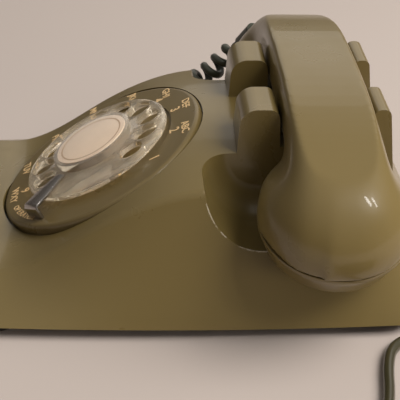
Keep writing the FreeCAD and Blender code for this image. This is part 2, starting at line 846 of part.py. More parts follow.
def make_ringer_frame():
    """Steel base of the ringer with the gong posts, the coil core and the wheel's cheeks."""
    low = pan_top_z
    top = low + ringer_frame_thickness
    gongs = gong_places()
    x0 = gong_x - 2 * post_radius
    x1 = ringer_x + coil_radius + 2 * coil_core_radius
    frame = box(x0, x1, gongs[0] - 2 * post_radius, gongs[1] + 2 * post_radius, low, top)
    shoulder = gong_top_z - gong_wall
    for y in gongs:
        frame = frame.fuse(cylinder(1.6 * post_radius, shoulder - low, (gong_x, y, low)))
        frame = frame.fuse(cylinder(post_radius, gong_top_z + post_radius - low, (gong_x, y, low)))
    cheek = 2 * ringer_frame_thickness
    for side in (-1, 1):
        y = ringer_y + side * (coil_length / 2 + cheek / 2)
        frame = frame.fuse(box(ringer_x - coil_core_radius, ringer_x + coil_core_radius,
                               y - cheek / 2, y + cheek / 2, low, coil_z + coil_radius))
    core = cylinder(coil_core_radius, coil_length, (ringer_x, ringer_y - coil_length / 2, coil_z), BACK)
    frame = frame.fuse(core)
    pivot = cylinder(post_radius, clapper_z - 2 * clapper_rod_radius - low, (clapper_pivot_x, ringer_y, low))
    pin_height = clapper_z + 3 * clapper_rod_radius - low
    pin = cylinder(post_radius / 2, pin_height, (clapper_pivot_x, ringer_y, low))
    frame = frame.fuse(pivot).fuse(pin)
    reach = volume_wheel_radius + volume_wheel_thickness
    frame = frame.fuse(box(ringer_x - reach / 2, ringer_x + reach / 2, volume_wheel_y - reach,
                           volume_wheel_y + reach / 2, low, top))
    slot = box(ringer_x - volume_wheel_thickness, ringer_x + volume_wheel_thickness,
               volume_wheel_y - reach, volume_wheel_y + volume_wheel_radius + 1.0, low - 1.0, top + 1.0)
    frame = frame.cut(slot)
    for side in (-1, 1):
        near = volume_wheel_thickness / 2 + running_gap
        x = ringer_x + side * near
        far = x + side * ringer_frame_thickness
        frame = frame.fuse(box(min(x, far), max(x, far), volume_wheel_y - 4.0, volume_wheel_y + 4.0,
                               low, volume_wheel_z + 4.0))
    hole = cylinder(post_radius / 2 + running_clearance, 4 * reach,
                    (ringer_x - 2 * reach, volume_wheel_y, volume_wheel_z), RIGHT)
    return frame.cut(hole).removeSplitter()


def make_coil():
    """Wire bobbin round the ringer's core."""
    flange = 1.5
    y0 = ringer_y - coil_length / 2
    bobbin = cylinder(coil_radius, coil_length, (ringer_x, y0, coil_z), BACK)
    waist = tube(2 * coil_radius, coil_radius - flange, coil_length - 2 * flange,
                 (ringer_x, y0 + flange, coil_z), BACK)
    bore_start = (ringer_x, y0 - coil_length / 2, coil_z)
    bore = cylinder(coil_core_radius + press_clearance, 2 * coil_length, bore_start, BACK)
    return bobbin.cut(waist).cut(bore)


def make_clapper():
    """Rod and ball between the gongs, swinging on the frame's pin."""
    sleeve_low = clapper_z - 2 * clapper_rod_radius + running_gap
    sleeve = tube(post_radius, post_radius / 2 + running_clearance, 4 * clapper_rod_radius,
                  (clapper_pivot_x, ringer_y, sleeve_low))
    start = post_radius - clapper_rod_radius / 2
    outline = [(0, start), (clapper_rod_radius, start)]
    for index in range(1, clapper_ball_steps):
        turn = math.pi * index / clapper_ball_steps
        ring = clapper_ball_radius * math.sin(turn)
        outline.append((max(ring, clapper_rod_radius), clapper_length - clapper_ball_radius * math.cos(turn)))
    outline.append((0, clapper_length + clapper_ball_radius))
    rod = turned(outline)
    spot = Vector(clapper_pivot_x, ringer_y, clapper_z)
    rod = placed(rod, Placement(spot, Rotation(UP, Vector(-1, 0, 0))))
    return sleeve.fuse(rod).removeSplitter()


def make_volume_wheel():
    """Milled loudness wheel whose edge shows under the pan."""
    outline = []
    for index in range(2 * volume_wheel_teeth):
        radius = volume_wheel_radius - (index % 2) * 0.8
        turn = index * math.pi / volume_wheel_teeth
        outline.append((0, radius * math.cos(turn), radius * math.sin(turn)))
    wheel = prism(outline, (volume_wheel_thickness, 0, 0))
    pin_length = volume_wheel_thickness + 2 * running_gap + 2 * ringer_frame_thickness
    pin = cylinder(post_radius / 2, pin_length, ((volume_wheel_thickness - pin_length) / 2, 0, 0), RIGHT)
    wheel = wheel.fuse(pin).removeSplitter()
    spot = Vector(ringer_x - volume_wheel_thickness / 2, volume_wheel_y, volume_wheel_z)
    return placed(wheel, Placement(spot, Rotation()))


def make_network():
    """Potted circuit block with rows of screw terminals."""
    x0, y0 = network_x - network_width / 2, network_y - network_length / 2
    block = box(x0, x0 + network_width, y0, y0 + network_length, pan_top_z, pan_top_z + network_height)
    middle_z = pan_top_z + network_height / 2
    block = block.makeFillet(network_round, edges_where(block, lambda m, e: abs(m.z - middle_z) < 1.0))
    count = int(network_length / terminal_pitch)
    first = network_y - (count - 1) * terminal_pitch / 2
    for column in (-1, 1):
        for index in range(count):
            spot = (network_x + column * network_width / 4, first + index * terminal_pitch,
                    pan_top_z + network_height)
            block = block.fuse(cylinder(terminal_radius, terminal_height, spot))
    return block.removeSplitter()


def cup_frame(side):
    """Frame of one end of the handset: origin at the seam's centre, Z out through the cup's back."""
    lean = Rotation(BACK, side * cup_tilt)
    return Placement(Vector(side * cup_centre_x, handset_y, cup_seam_z), lean)


def rim_point(side, across):
    """Point of a cup's rim in the middle plane: across is -1 at the grip and 1 at the far end."""
    return cup_frame(side).multVec(Vector(side * across * cup_radius, 0, 0))


def grip_wire(inner, outer, half, power):
    """Closed rounded outline between an inner and an outer point of the handset's side profile."""
    centre = (inner + outer) * 0.5
    reach = (outer - inner) * 0.5
    points = []
    for index in range(grip_points):
        turn = 2 * math.pi * index / grip_points
        along, across = math.cos(turn), math.sin(turn)
        size = (abs(along) ** power + abs(across) ** power) ** (-1 / power)
        points.append(centre + reach * (size * along) + BACK * (half * size * across))
    half_way = grip_points // 2
    rear, front = Part.BSplineCurve(), Part.BSplineCurve()
    rear.interpolate(points[:half_way + 1], InitialTangent=BACK, FinalTangent=BACK * -1)
    front.interpolate(points[half_way:] + points[:1], InitialTangent=BACK * -1, FinalTangent=BACK)
    return Part.Wire([rear.toShape(), front.toShape()])


def side_wires(side):
    """Outlines of one half of the handset, from the grip out to the cup's rim."""
    rim_in, rim_out = rim_point(side, -1), rim_point(side, 1)
    top, low = handle_top_z, handle_top_z - handle_thickness
    straight_fall = arch_fall(handle_straight)
    x = side * handle_straight
    inner = Vector(x, handset_y, low - straight_fall)
    outer = Vector(x, handset_y, top - straight_fall + handle_crown)
    wires = [grip_wire(inner, outer, handle_half_width, handle_squareness)]
    for inner_back, inner_fall, outer_back, outer_fall, widen, power in fan_sections:
        inner = Vector(rim_in.x - side * inner_back, handset_y, low - inner_fall)
        outer = Vector(rim_out.x - side * outer_back, handset_y, top - outer_fall)
        half = handle_half_width + widen * (cup_radius - handle_half_width)
        wires.append(grip_wire(inner, outer, half, power))
    wires.append(grip_wire(rim_in, rim_out, cup_radius, 2.0))
    return wires


def flat_block():
    """Block under the arched flat of the handset's back."""
    reach = rim_point(1, 1).x + cup_wall
    front = handset_y - 2 * cup_radius
    points = []
    for index in range(arch_steps + 1):
        x = reach * (2 * index / arch_steps - 1)
        points.append(Vector(x, front, handle_top_z - arch_fall(x)))
    curve = Part.BSplineCurve()
    curve.interpolate(points)
    left, right = Vector(-reach, front, 0), Vector(reach, front, 0)
    face = Part.Face(Part.Wire([
        curve.toShape(),
        Part.LineSegment(points[-1], right).toShape(),
        Part.LineSegment(right, left).toShape(),
        Part.LineSegment(left, points[0]).toShape(),
    ]))
    return face.extrude(BACK * (4 * cup_radius))


def make_handset_body():
    """Moulded handset: flat-backed grip fanned out into two hollow cups, in one piece."""
    inner = Vector(0, handset_y, handle_top_z - handle_thickness)
    outer = Vector(0, handset_y, handle_top_z + handle_crown)
    middle = grip_wire(inner, outer, handle_half_width, handle_squareness)
    wires = side_wires(-1)[::-1] + [middle] + side_wires(1)
    body = Part.makeLoft(wires, True, False).common(flat_block())
    bore = turned([
        (0, -cap_height), (cup_radius - cup_wall, -cap_height), (cup_radius - cup_wall, cup_bore_depth / 2),
        (cup_radius * bore_share, cup_bore_depth), (0, cup_bore_depth),
    ])
    below = cylinder(cup_radius + cup_wall, cup_radius, (0, 0, seam_gap / 2 - cup_radius))
    for side in (-1, 1):
        body = body.cut(placed(bore, cup_frame(side)))
        body = body.cut(placed(below, cup_frame(side)))
    return body.removeSplitter()


def make_cap(side, rings):
    """Screw cap of one end with its sound holes."""
    top = -seam_gap / 2
    low = top - cap_height
    outer = cup_radius - cap_inset
    inner = cup_radius - cup_wall - running_gap
    shape = turned([
        (0, low), (cap_face_radius - cap_bevel, low), (cap_face_radius, low + cap_edge),
        (outer, top - cap_bevel),
        (outer, top), (inner, top), (inner, top - cap_bevel),
        (cap_face_radius - cap_wall, low + cap_wall), (0, low + cap_wall),
    ])
    holes = [(0.0, 0.0)]
    for radius, count in rings:
        for index in range(count):
            turn = 2 * math.pi * index / count
            holes.append((radius * math.cos(turn), radius * math.sin(turn)))
    for x, y in holes:
        shape = shape.cut(cylinder(cap_hole_radius, 3 * cap_wall, (x, y, low - cap_wall)))
    return placed(shape, cup_frame(side))


def make_capsule(side):
    """Round sound unit resting on the inside of its cap."""
    low = -seam_gap / 2 - cap_height + cap_wall
    body = turned([
        (0, low), (capsule_radius - capsule_bevel, low), (capsule_radius, low + capsule_bevel),
        (capsule_radius, low + capsule_height / 2), (capsule_radius * bore_share, low + capsule_height),
        (0, low + capsule_height),
    ])
    return placed(body, cup_frame(side))


def arc_middle(start, corner, end):
    """Middle point of the arc that leaves start and reaches end tangent to the lines to corner."""
    half = (corner - start).getAngle(end - corner) / 2
    chord = (start + end) * 0.5
    return chord + (corner - chord) * (math.cos(half) / (1 + math.cos(half)))


def round_route(points):
    """Edges of a route of straight runs and tangent arcs, and the arcs' radii."""
    spots = [Vector(*p) for p in points]
    edges, radii = [], []
    at = spots[0]
    for before, corner, after in zip(spots, spots[1:], spots[2:]):
        shorter = min(corner.distanceToPoint(before), corner.distanceToPoint(after))
        reach = 0.45 * shorter
        start = corner + (before - corner).normalize() * reach
        end = corner + (after - corner).normalize() * reach
        turn = (corner - before).getAngle(after - corner)
        radii.append(reach / math.tan(turn / 2))
        edges.append(Part.LineSegment(at, start).toShape())
        edges.append(Part.Arc(start, arc_middle(start, corner, end), end).toShape())
        at = end
    edges.append(Part.LineSegment(at, spots[-1]).toShape())
    return edges, radii


def tangent_pair(start, start_dir, end, end_dir):
    """Two arcs that join two points with the given directions."""
    across = end - start
    both = start_dir + end_dir
    bend = 2 * (start_dir.dot(end_dir) - 1)
    slope = -2 * across.dot(both)
    if abs(bend) < 1e-9:
        reach = across.dot(across) / -slope
    else:
        reach = (-slope - math.sqrt(slope * slope - 4 * bend * across.dot(across))) / (2 * bend)
    first, second = start + start_dir * reach, end - end_dir * reach
    joint = (first + second) * 0.5
    arcs = []
    for a, corner, b in ((start, first, joint), (joint, second, end)):
        arcs.append(Part.Arc(a, arc_middle(a, corner, b), b).toShape())
    return arcs


def tube_along(edges, radius, sides):
    """Cord swept along a route, round or with flat sides."""
    start = edges[0].valueAt(edges[0].FirstParameter)
    heading = edges[0].tangentAt(edges[0].FirstParameter)
    if sides:
        across = heading.cross(UP).normalize()
        lift = across.cross(heading)
        corners = []
        for index in range(sides):
            turn = 2 * math.pi * index / sides
            corners.append(start + across * (radius * math.cos(turn)) + lift * (radius * math.sin(turn)))
        profile = Part.makePolygon(corners + corners[:1])
    else:
        profile = Part.Wire(Part.makeCircle(radius, start, heading))
    return Part.Wire(edges).makePipeShell([profile], True, False)


def report_cord(name, shape, edges, radius, sides):
    """Print a cord's volume beside its section times its length."""
    length = sum(edge.Length for edge in edges)
    section = math.pi * radius * radius
    if sides:
        section = sides / 2 * radius * radius * math.sin(2 * math.pi / sides)
    print(name, "length", round(length), "volume", round(shape.Volume), "of", round(section * length))


def least_gap(points, radius, apart):
    """Least clear distance of a cord to itself, on points at least some steps apart."""
    least = 1e9
    for index in range(len(points)):
        for other in range(index + apart, len(points)):
            least = min(least, points[index].distanceToPoint(points[other]))
    return least - 2 * radius


def wound_edges(place, turns, tail):
    """Edges of a winding through its quarter turns, with a straight tail at each end."""
    small = 1e-3
    steps = 4 * turns
    spots, headings = [], []
    for index in range(steps + 1):
        turn = index * math.pi / 2
        ahead, behind = min(turn + small, turns * 2 * math.pi), max(turn - small, 0.0)
        spots.append(place(turn))
        headings.append((place(ahead) - place(behind)).normalize())
    edges = [Part.LineSegment(spots[0] - headings[0] * tail, spots[0]).toShape()]
    for index in range(steps):
        edges += tangent_pair(spots[index], headings[index], spots[index + 1], headings[index + 1])
    edges.append(Part.LineSegment(spots[-1], spots[-1] + headings[-1] * tail).toShape())
    return edges


handset_relief_base = Vector(-94.5, handset_y - 19.5, 69.5)
handset_relief_heading = Vector(-0.5, -0.5, -0.7).normalize()
handset_relief_tip = handset_relief_base + handset_relief_heading * relief_length
base_relief_tip_x = -base_half_width - relief_length + relief_seat
table_curl_z = curl_radius + curl_wire_radius + 0.3

curl_route = [
    tuple(handset_relief_tip),
    tuple(handset_relief_tip + handset_relief_heading * 10.0),
    (-107.0, handset_y - 36.5, 45.5),
    (-106.8, handset_y - 41.5, 40.5),
    (-107.8, handset_y - 47.7, 35.5),
    (-111.6, handset_y - 53.4, 29.5),
    (-117.3, handset_y - 57.2, 23.0),
    (-124.0, handset_y - 58.5, 17.0),
    (-130.7, handset_y - 57.2, 12.2),
    (-136.4, handset_y - 53.4, 9.0),
    (-140.2, handset_y - 47.7, 7.5),
    (-141.5, handset_y - 41.0, table_curl_z),
    (-143.0, handset_y - 26.0, table_curl_z),
    (-149.0, handset_y - 12.0, table_curl_z),
    (-158.0, handset_y + 0.5, table_curl_z),
    (-165.0, handset_y + 14.0, table_curl_z),
    (-163.0, handset_y + 28.0, table_curl_z),
    (-152.5, handset_y + 36.5, table_curl_z),
    (-139.0, handset_y + 34.5, 8.0),
    (-127.0, handset_y + 26.5, 10.5),
    (base_relief_tip_x - 12.0, handset_cord_exit_y, cord_exit_z),
    (base_relief_tip_x, handset_cord_exit_y, cord_exit_z),
]

coil_layer_rise = coil_step
coil_low_z = tie_thickness + tie_clearance + line_cord_radius
coil_outer_radius = coil_inner_radius + coil_step * coil_layer_turns
coil_start_x = 188.0
coil_start_y = rear_y - 41.0


def line_coil_point(turn):
    """Point of the put-away coil, spiralling in on the table and out again one layer up."""
    past = turn - 2 * math.pi * coil_layer_turns
    soft = 0.5
    radius = coil_inner_radius + coil_step * math.sqrt(past * past + soft * soft) / (2 * math.pi)
    climb = max(0.0, min(1.0, past / math.pi + 0.5))
    z = coil_low_z + coil_layer_rise * climb * climb * (3 - 2 * climb)
    centre_y = coil_start_y + coil_outer_radius
    angle = turn - math.pi / 2
    return Vector(coil_start_x + radius * math.cos(angle), centre_y + radius * math.sin(angle), z)


def coil_end(turns, side):
    """Outer end of the coil's straight tail and its heading; side is -1 at the start, 1 at the end."""
    small = 1e-3
    at = line_coil_point(turns * 2 * math.pi)
    inner = line_coil_point(turns * 2 * math.pi - side * small)
    heading = (at - inner).normalize() * side
    return at + heading * (side * 2 * line_cord_radius), heading


line_start = (line_cord_exit_x, rear_y + relief_length - relief_seat + cord_clearance, cord_exit_z)
coil_in, coil_in_heading = coil_end(0, -1)
coil_out, coil_out_heading = coil_end(2 * coil_layer_turns, 1)
line_route = [
    line_start,
    (line_cord_exit_x, line_start[1] + 13.0, cord_exit_z),
    (54.0, rear_y + 36.0, 7.5),
    (67.0, rear_y + 42.5, 3.4),
    (80.0, rear_y + 39.0, line_cord_radius),
    (88.5, rear_y + 28.0, line_cord_radius),
    (91.5, rear_y + 14.0, line_cord_radius),
    (92.5, rear_y + 0.0, line_cord_radius),
    (94.5, rear_y - 13.0, line_cord_radius),
    (101.5, rear_y - 23.5, line_cord_radius),
    (115.0, rear_y - 28.0, line_cord_radius),
    (132.0, rear_y - 30.5, line_cord_radius),
    (150.0, rear_y - 35.5, 2.8),
    tuple(coil_in - coil_in_heading * 16.0),
    tuple(coil_in),
]
plug_tail = (262.0, rear_y - 59.0, plug_height / 2)
tail_route = [
    tuple(coil_out),
    tuple(coil_out + coil_out_heading * 15.0),
    (226.0, rear_y - 45.0, 6.5),
    (244.0, rear_y - 51.5, 4.2),
    plug_tail,
]


def route_frames(edges, step):
    """Points along a route with a steady pair of cross directions."""
    wire = Part.Wire(edges)
    points = wire.discretize(Number=int(wire.Length / step) + 1)
    frames = []
    across = (points[1] - points[0]).cross(UP).normalize()
    for index, point in enumerate(points):
        nearby = points[min(index + 1, len(points) - 1)] - points[max(index - 1, 0)]
        heading = nearby.normalize()
        across = (across - heading * across.dot(heading)).normalize()
        frames.append((point, heading, across, heading.cross(across)))
    return frames, wire.Length


def make_handset_cord():
    """Curly cord: one unbroken helix along its hanging and lying route."""
    edges, radii = round_route(curl_route)
    print("handset cord route radii", [round(r) for r in radii])
    step = 0.25
    frames, length = route_frames(edges, step)
    tail = 2 * curl_wire_radius
    turns = int((length - 2 * tail) / curl_pitch)
    pitch = (length - 2 * tail) / turns
    spacing = length / (len(frames) - 1)

    def curl_point(turn):
        along = (tail + pitch * turn / (2 * math.pi)) / spacing
        low = min(int(along), len(frames) - 2)
        share = along - low
        first, second = frames[low], frames[low + 1]
        point, across, lift = [first[k] * (1 - share) + second[k] * share for k in (0, 2, 3)]
        ramp = min(1.0, turn / (2 * math.pi), (turns * 2 * math.pi - turn) / (2 * math.pi))
        radius = curl_radius * ramp * ramp * (3 - 2 * ramp)
        return point + across * (radius * math.cos(turn)) + lift * (radius * math.sin(turn))

    path = wound_edges(curl_point, turns, tail)
    samples = [curl_point(k * math.pi / 6) for k in range(12 * turns + 1)]
    print("handset cord curls", turns, "least gap", round(least_gap(samples, curl_wire_radius, 7), 2))
    cord = tube_along(path, curl_wire_radius, cord_sides)
    report_cord("handset cord", cord, path, curl_wire_radius, cord_sides)
    return cord


def make_line_tube(name, route):
    """Round cord along a free route."""
    edges, radii = round_route(route)
    print(name, "radii", [round(r) for r in radii])
    cord = tube_along(edges, line_cord_radius, 0)
    report_cord(name, cord, edges, line_cord_radius, 0)
    return cord


def make_line_coil():
    """Put-away length of the line cord, wound in two layers."""
    turns = 2 * coil_layer_turns
    path = wound_edges(line_coil_point, turns, 2 * line_cord_radius)
    samples = [line_coil_point(k * math.pi / 12) for k in range(24 * turns + 1)]
    print("line coil loops", turns, "least gap", round(least_gap(samples, line_cord_radius, 12), 2))
    coil = tube_along(path, line_cord_radius, cord_sides)
    report_cord("line coil", coil, path, line_cord_radius, cord_sides)
    return coil


def make_tie():
    """Flat tie round the loops of the coil, on the side away from its ends."""
    half_turn = coil_step / 2
    near = coil_inner_radius + half_turn - line_cord_radius - tie_clearance
    far = coil_outer_radius - half_turn + line_cord_radius + tie_clearance
    low = coil_low_z - line_cord_radius - tie_clearance
    high = coil_low_z + coil_layer_rise + line_cord_radius + tie_clearance
    y = coil_start_y + coil_outer_radius
    x0, x1 = coil_start_x - tie_width / 2, coil_start_x + tie_width / 2
    t = tie_thickness
    band = box(x0, x1, y + near - t, y + far + t, low - t, high + t)
    return band.cut(box(x0 - t, x1 + t, y + near, y + far, low, high))


def make_plug():
    """Small plug on the end of the line cord, with a latch on top."""
    edges, _radii = round_route(tail_route)
    at = edges[-1].valueAt(edges[-1].LastParameter)
    heading = edges[-1].tangentAt(edges[-1].LastParameter)
    flat = Vector(heading.x, heading.y, 0).normalize()
    w, h, n = plug_width / 2, plug_height / 2, plug_length
    body = box(0, n, -w, w, -h, h)
    latch = prism([(2.0, -w / 3, h), (n * 0.8, -w / 3, h), (2.0, -w / 3, h + 2.0)], (0, 2 * w / 3, 0))
    shape = body.fuse(latch).removeSplitter()
    turn = Rotation(RIGHT, flat)
    return placed(shape, Placement(at + flat * cord_clearance, turn))


def relief(base, heading):
    """Tapered strain relief from its seat out to the cord."""
    return Part.makeCone(relief_radius, relief_tip_radius, relief_length, base, heading)


PARTS = {}


def build():
    """Make every sub-part and file it under its node name."""
    PARTS["housing"] = make_housing()
    PARTS["base_pan"] = make_pan()
    PARTS["feet"] = make_feet()
    PARTS["pan_screws"] = make_screws()
    PARTS["number_plate"] = make_number_plate()
    PARTS["finger_wheel"] = make_finger_wheel()
    PARTS["number_card"] = make_number_card()
    PARTS["card_retainer"] = make_retainer()
    PARTS["finger_stop"] = make_finger_stop()
    PARTS["dial_back"] = make_dial_back()
    PARTS["dial_shaft"] = make_dial_shaft()
    PARTS["main_gear"] = make_main_gear()
    PARTS["governor"] = make_governor()
    PARTS["dial_bracket"] = make_dial_bracket()
    PARTS["plunger_left"] = make_plunger(-1)
    PARTS["plunger_right"] = make_plunger(1)
    PARTS["hook_lever"] = make_hook_lever()
    PARTS["hook_frame"] = make_hook_frame()
    PARTS["contact_stack"] = make_contacts()
    low_gong, high_gong = gong_places()
    PARTS["gong_front"] = make_gong(low_gong)
    PARTS["gong_rear"] = make_gong(high_gong)
    PARTS["ringer_frame"] = make_ringer_frame()
    PARTS["ringer_coil"] = make_coil()
    PARTS["clapper"] = make_clapper()
    PARTS["volume_wheel"] = make_volume_wheel()
    PARTS["network_block"] = make_network()
    handset_relief = relief(handset_relief_base, handset_relief_heading)
    PARTS["handset_body"] = make_handset_body().cut(handset_relief)
    PARTS["receiver_cap"] = make_cap(1, ((9.0, 6),))
    PARTS["transmitter_cap"] = make_cap(-1, ((8.0, 6), (16.0, 12)))
    PARTS["receiver_unit"] = make_capsule(1)
    PARTS["transmitter_unit"] = make_capsule(-1)
    PARTS["handset_cord_relief"] = handset_relief
    base_seat = Vector(base_relief_tip_x + relief_length, handset_cord_exit_y, cord_exit_z)
    PARTS["base_cord_relief"] = relief(base_seat, Vector(-1, 0, 0))
    line_seat = Vector(line_cord_exit_x, rear_y - relief_seat, cord_exit_z)
    PARTS["line_cord_relief"] = relief(line_seat, BACK)
    PARTS["handset_cord"] = make_handset_cord()
    PARTS["line_cord"] = make_line_tube("line cord", line_route)
    PARTS["line_cord_coil"] = make_line_coil()
    PARTS["line_cord_tail"] = make_line_tube("line cord tail", tail_route)
    PARTS["cord_tie"] = make_tie()
    PARTS["line_plug"] = make_plug()


def main():
    """Build the set and write one STEP file for each node."""
    os.makedirs("parts", exist_ok=True)
    build()
    for name, shape in PARTS.items():
        shape.exportStep(f"parts/{name}.step")
        print(name, "solids", len(shape.Solids), "valid", shape.isValid(), "volume", round(shape.Volume))


main()
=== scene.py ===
"""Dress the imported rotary-dial desk telephone and set it in a plain studio.

Lengths are in metres, and the cords' routes in millimetres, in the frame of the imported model: +Z up, the
user in front at -Y.
"""
from __future__ import annotations

import json
import logging
import math
from dataclasses import dataclass, replace
from enum import Enum
from typing import Callable, Iterable, Sequence

import bpy
from mathutils import Matrix, Vector

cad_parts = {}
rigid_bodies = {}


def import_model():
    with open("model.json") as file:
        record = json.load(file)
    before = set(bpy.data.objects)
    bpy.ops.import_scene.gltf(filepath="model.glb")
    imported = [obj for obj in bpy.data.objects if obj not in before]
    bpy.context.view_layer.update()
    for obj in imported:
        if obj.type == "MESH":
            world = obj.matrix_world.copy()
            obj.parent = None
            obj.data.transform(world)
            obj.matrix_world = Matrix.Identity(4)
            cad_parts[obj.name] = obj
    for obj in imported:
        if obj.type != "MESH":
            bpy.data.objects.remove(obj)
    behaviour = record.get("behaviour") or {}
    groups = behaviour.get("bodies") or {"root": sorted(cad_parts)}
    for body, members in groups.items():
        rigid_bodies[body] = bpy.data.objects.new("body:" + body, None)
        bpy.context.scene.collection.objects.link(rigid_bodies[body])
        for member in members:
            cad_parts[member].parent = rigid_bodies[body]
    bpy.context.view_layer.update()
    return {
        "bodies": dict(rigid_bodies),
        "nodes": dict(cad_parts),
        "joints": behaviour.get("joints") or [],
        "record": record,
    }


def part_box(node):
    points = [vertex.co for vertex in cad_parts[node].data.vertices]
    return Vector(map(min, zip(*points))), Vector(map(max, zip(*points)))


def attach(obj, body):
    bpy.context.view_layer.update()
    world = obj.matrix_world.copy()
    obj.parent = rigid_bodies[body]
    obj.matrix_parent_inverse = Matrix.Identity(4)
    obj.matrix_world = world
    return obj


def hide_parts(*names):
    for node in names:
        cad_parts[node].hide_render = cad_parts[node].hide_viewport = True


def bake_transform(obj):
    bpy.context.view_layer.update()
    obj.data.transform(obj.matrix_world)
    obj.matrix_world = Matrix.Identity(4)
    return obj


LOG = logging.getLogger("telephone")
MM = 0.001
Colour = tuple[float, float, float]
Point = tuple[float, float, float]


def smooth_step(share: float) -> float:
    """Ease a share from 0 to 1, held at both ends."""
    held = max(0.0, min(1.0, share))
    return held * held * (3.0 - 2.0 * held)


class Surface(Enum):
    """Kinds of surface that a finish can be."""

    MOULDED = "moulded"
    CLEAR = "clear"
    FILM = "film"
    METAL = "metal"


class NodeGroups:
    """Shader groups that several finishes share, each built once."""

    colour = "NodeSocketColor"
    number = "NodeSocketFloat"
    vector = "NodeSocketVector"
    drift_detail = 5.0
    grain_detail = 3.0
    smear_scale = 38.0
    smear_detail = 6.0
    smear_range = (0.35, 0.7)
    edge_range = (0.985, 0.9)
    edge_samples = 4
    spot_detail = 4.0
    spot_range = (0.45, 0.52)
    chip_floor = 20.0 * MM
    gap_range = (0.2, 0.6)
    gap_samples = 8
    _made: dict[str, bpy.types.NodeTree] = {}

    @classmethod
    def _blank(cls, name: str, takes: dict[str, str],
               gives: dict[str, str]) -> tuple[bpy.types.NodeTree, bpy.types.Node, bpy.types.Node]:
        """Empty group with its sockets.

        Args:
            name: Name of the group.
            takes: Kind of each input socket.
            gives: Kind of each output socket.

        Returns:
            The group, its input node and its output node.
        """
        tree = bpy.data.node_groups.new(name, "ShaderNodeTree")
        for socket, kind in takes.items():
            tree.interface.new_socket(socket, in_out="INPUT", socket_type=kind)
        for socket, kind in gives.items():
            tree.interface.new_socket(socket, in_out="OUTPUT", socket_type=kind)
        cls._made[name] = tree
        return tree, tree.nodes.new("NodeGroupInput"), tree.nodes.new("NodeGroupOutput")

    @staticmethod
    def _noise(tree: bpy.types.NodeTree, place: bpy.types.NodeSocket, detail: float) -> bpy.types.Node:
        """Noise at a place.

        Args:
            tree: The group.
            place: Where the noise is read.
            detail: How fine it goes.

        Returns:
            The noise node.
        """
        noise = tree.nodes.new("ShaderNodeTexNoise")
        noise.inputs["Detail"].default_value = detail
        tree.links.new(place, noise.inputs["Vector"])
        return noise

    @staticmethod
    def _share(tree: bpy.types.NodeTree, value: bpy.types.NodeSocket,
               span: tuple[float, float]) -> bpy.types.Node:
        """How far a value has come from one end of a span to the other.

        Args:
            tree: The group.
            value: The value.
            span: Where the share is 0 and where it is 1.

        Returns:
            The node that maps the value.
        """
        share = tree.nodes.new("ShaderNodeMapRange")
        share.inputs["From Min"].default_value, share.inputs["From Max"].default_value = span
        tree.links.new(value, share.inputs["Value"])
        return share

    @staticmethod
    def _maths(tree: bpy.types.NodeTree, operation: str, value: bpy.types.NodeSocket,
               other: bpy.types.NodeSocket | float) -> bpy.types.NodeSocket:
        """One of Blender's operations on two values.

        Args:
            tree: The group.
            operation: Blender's name of the operation.
            value: First value.
            other: Second value, from a socket or plain.

        Returns:
            The result.
        """
        node = tree.nodes.new("ShaderNodeMath")
        node.operation = operation
        tree.links.new(value, node.inputs[0])
        if isinstance(other, float):
            node.inputs[1].default_value = other
        else:
            tree.links.new(other, node.inputs[1])
        return node.outputs["Value"]

    @classmethod
    def mottle(cls) -> bpy.types.NodeTree:
        """Slow colour drift between a base and a tone.

        Returns:
            The group, with a Color output.
        """
        if "colour_drift" in cls._made:
            return cls._made["colour_drift"]
        takes = {"Base": cls.colour, "Tone": cls.colour, "Scale": cls.number}
        tree, start, end = cls._blank("colour_drift", takes, {"Color": cls.colour})
        place = tree.nodes.new("ShaderNodeTexCoord")
        noise = cls._noise(tree, place.outputs["Object"], cls.drift_detail)
        mix = tree.nodes.new("ShaderNodeMix")
        mix.data_type = "RGBA"
        tree.links.new(start.outputs["Scale"], noise.inputs["Scale"])
        tree.links.new(noise.outputs["Fac"], mix.inputs["Factor"])
        tree.links.new(start.outputs["Base"], mix.inputs["A"])
        tree.links.new(start.outputs["Tone"], mix.inputs["B"])
        tree.links.new(mix.outputs["Result"], end.inputs["Color"])
        return tree

    @classmethod
    def grain(cls) -> bpy.types.NodeTree:
        """Fine surface grain as a height, and smears as a roughness.

        Returns:
            The group, with Height and Roughness outputs.
        """
        if "surface_grain" in cls._made:
            return cls._made["surface_grain"]
        takes = {"Scale": cls.number, "Low": cls.number, "High": cls.number, "Stretch": cls.vector}
        gives = dict.fromkeys(("Height", "Roughness"), cls.number)
        tree, start, end = cls._blank("surface_grain", takes, gives)
        place = tree.nodes.new("ShaderNodeTexCoord")
        stretch = tree.nodes.new("ShaderNodeVectorMath")
        stretch.operation = "MULTIPLY"
        tree.links.new(place.outputs["Object"], stretch.inputs[0])
        tree.links.new(start.outputs["Stretch"], stretch.inputs[1])
        noise = cls._noise(tree, stretch.outputs["Vector"], cls.grain_detail)
        tree.links.new(start.outputs["Scale"], noise.inputs["Scale"])
        smear = cls._noise(tree, place.outputs["Object"], cls.smear_detail)
        smear.inputs["Scale"].default_value = cls.smear_scale
        spread = cls._share(tree, smear.outputs["Fac"], cls.smear_range)
        tree.links.new(start.outputs["Low"], spread.inputs["To Min"])
        tree.links.new(start.outputs["High"], spread.inputs["To Max"])
        tree.links.new(noise.outputs["Fac"], end.inputs["Height"])
        tree.links.new(spread.outputs["Result"], end.inputs["Roughness"])
        return tree

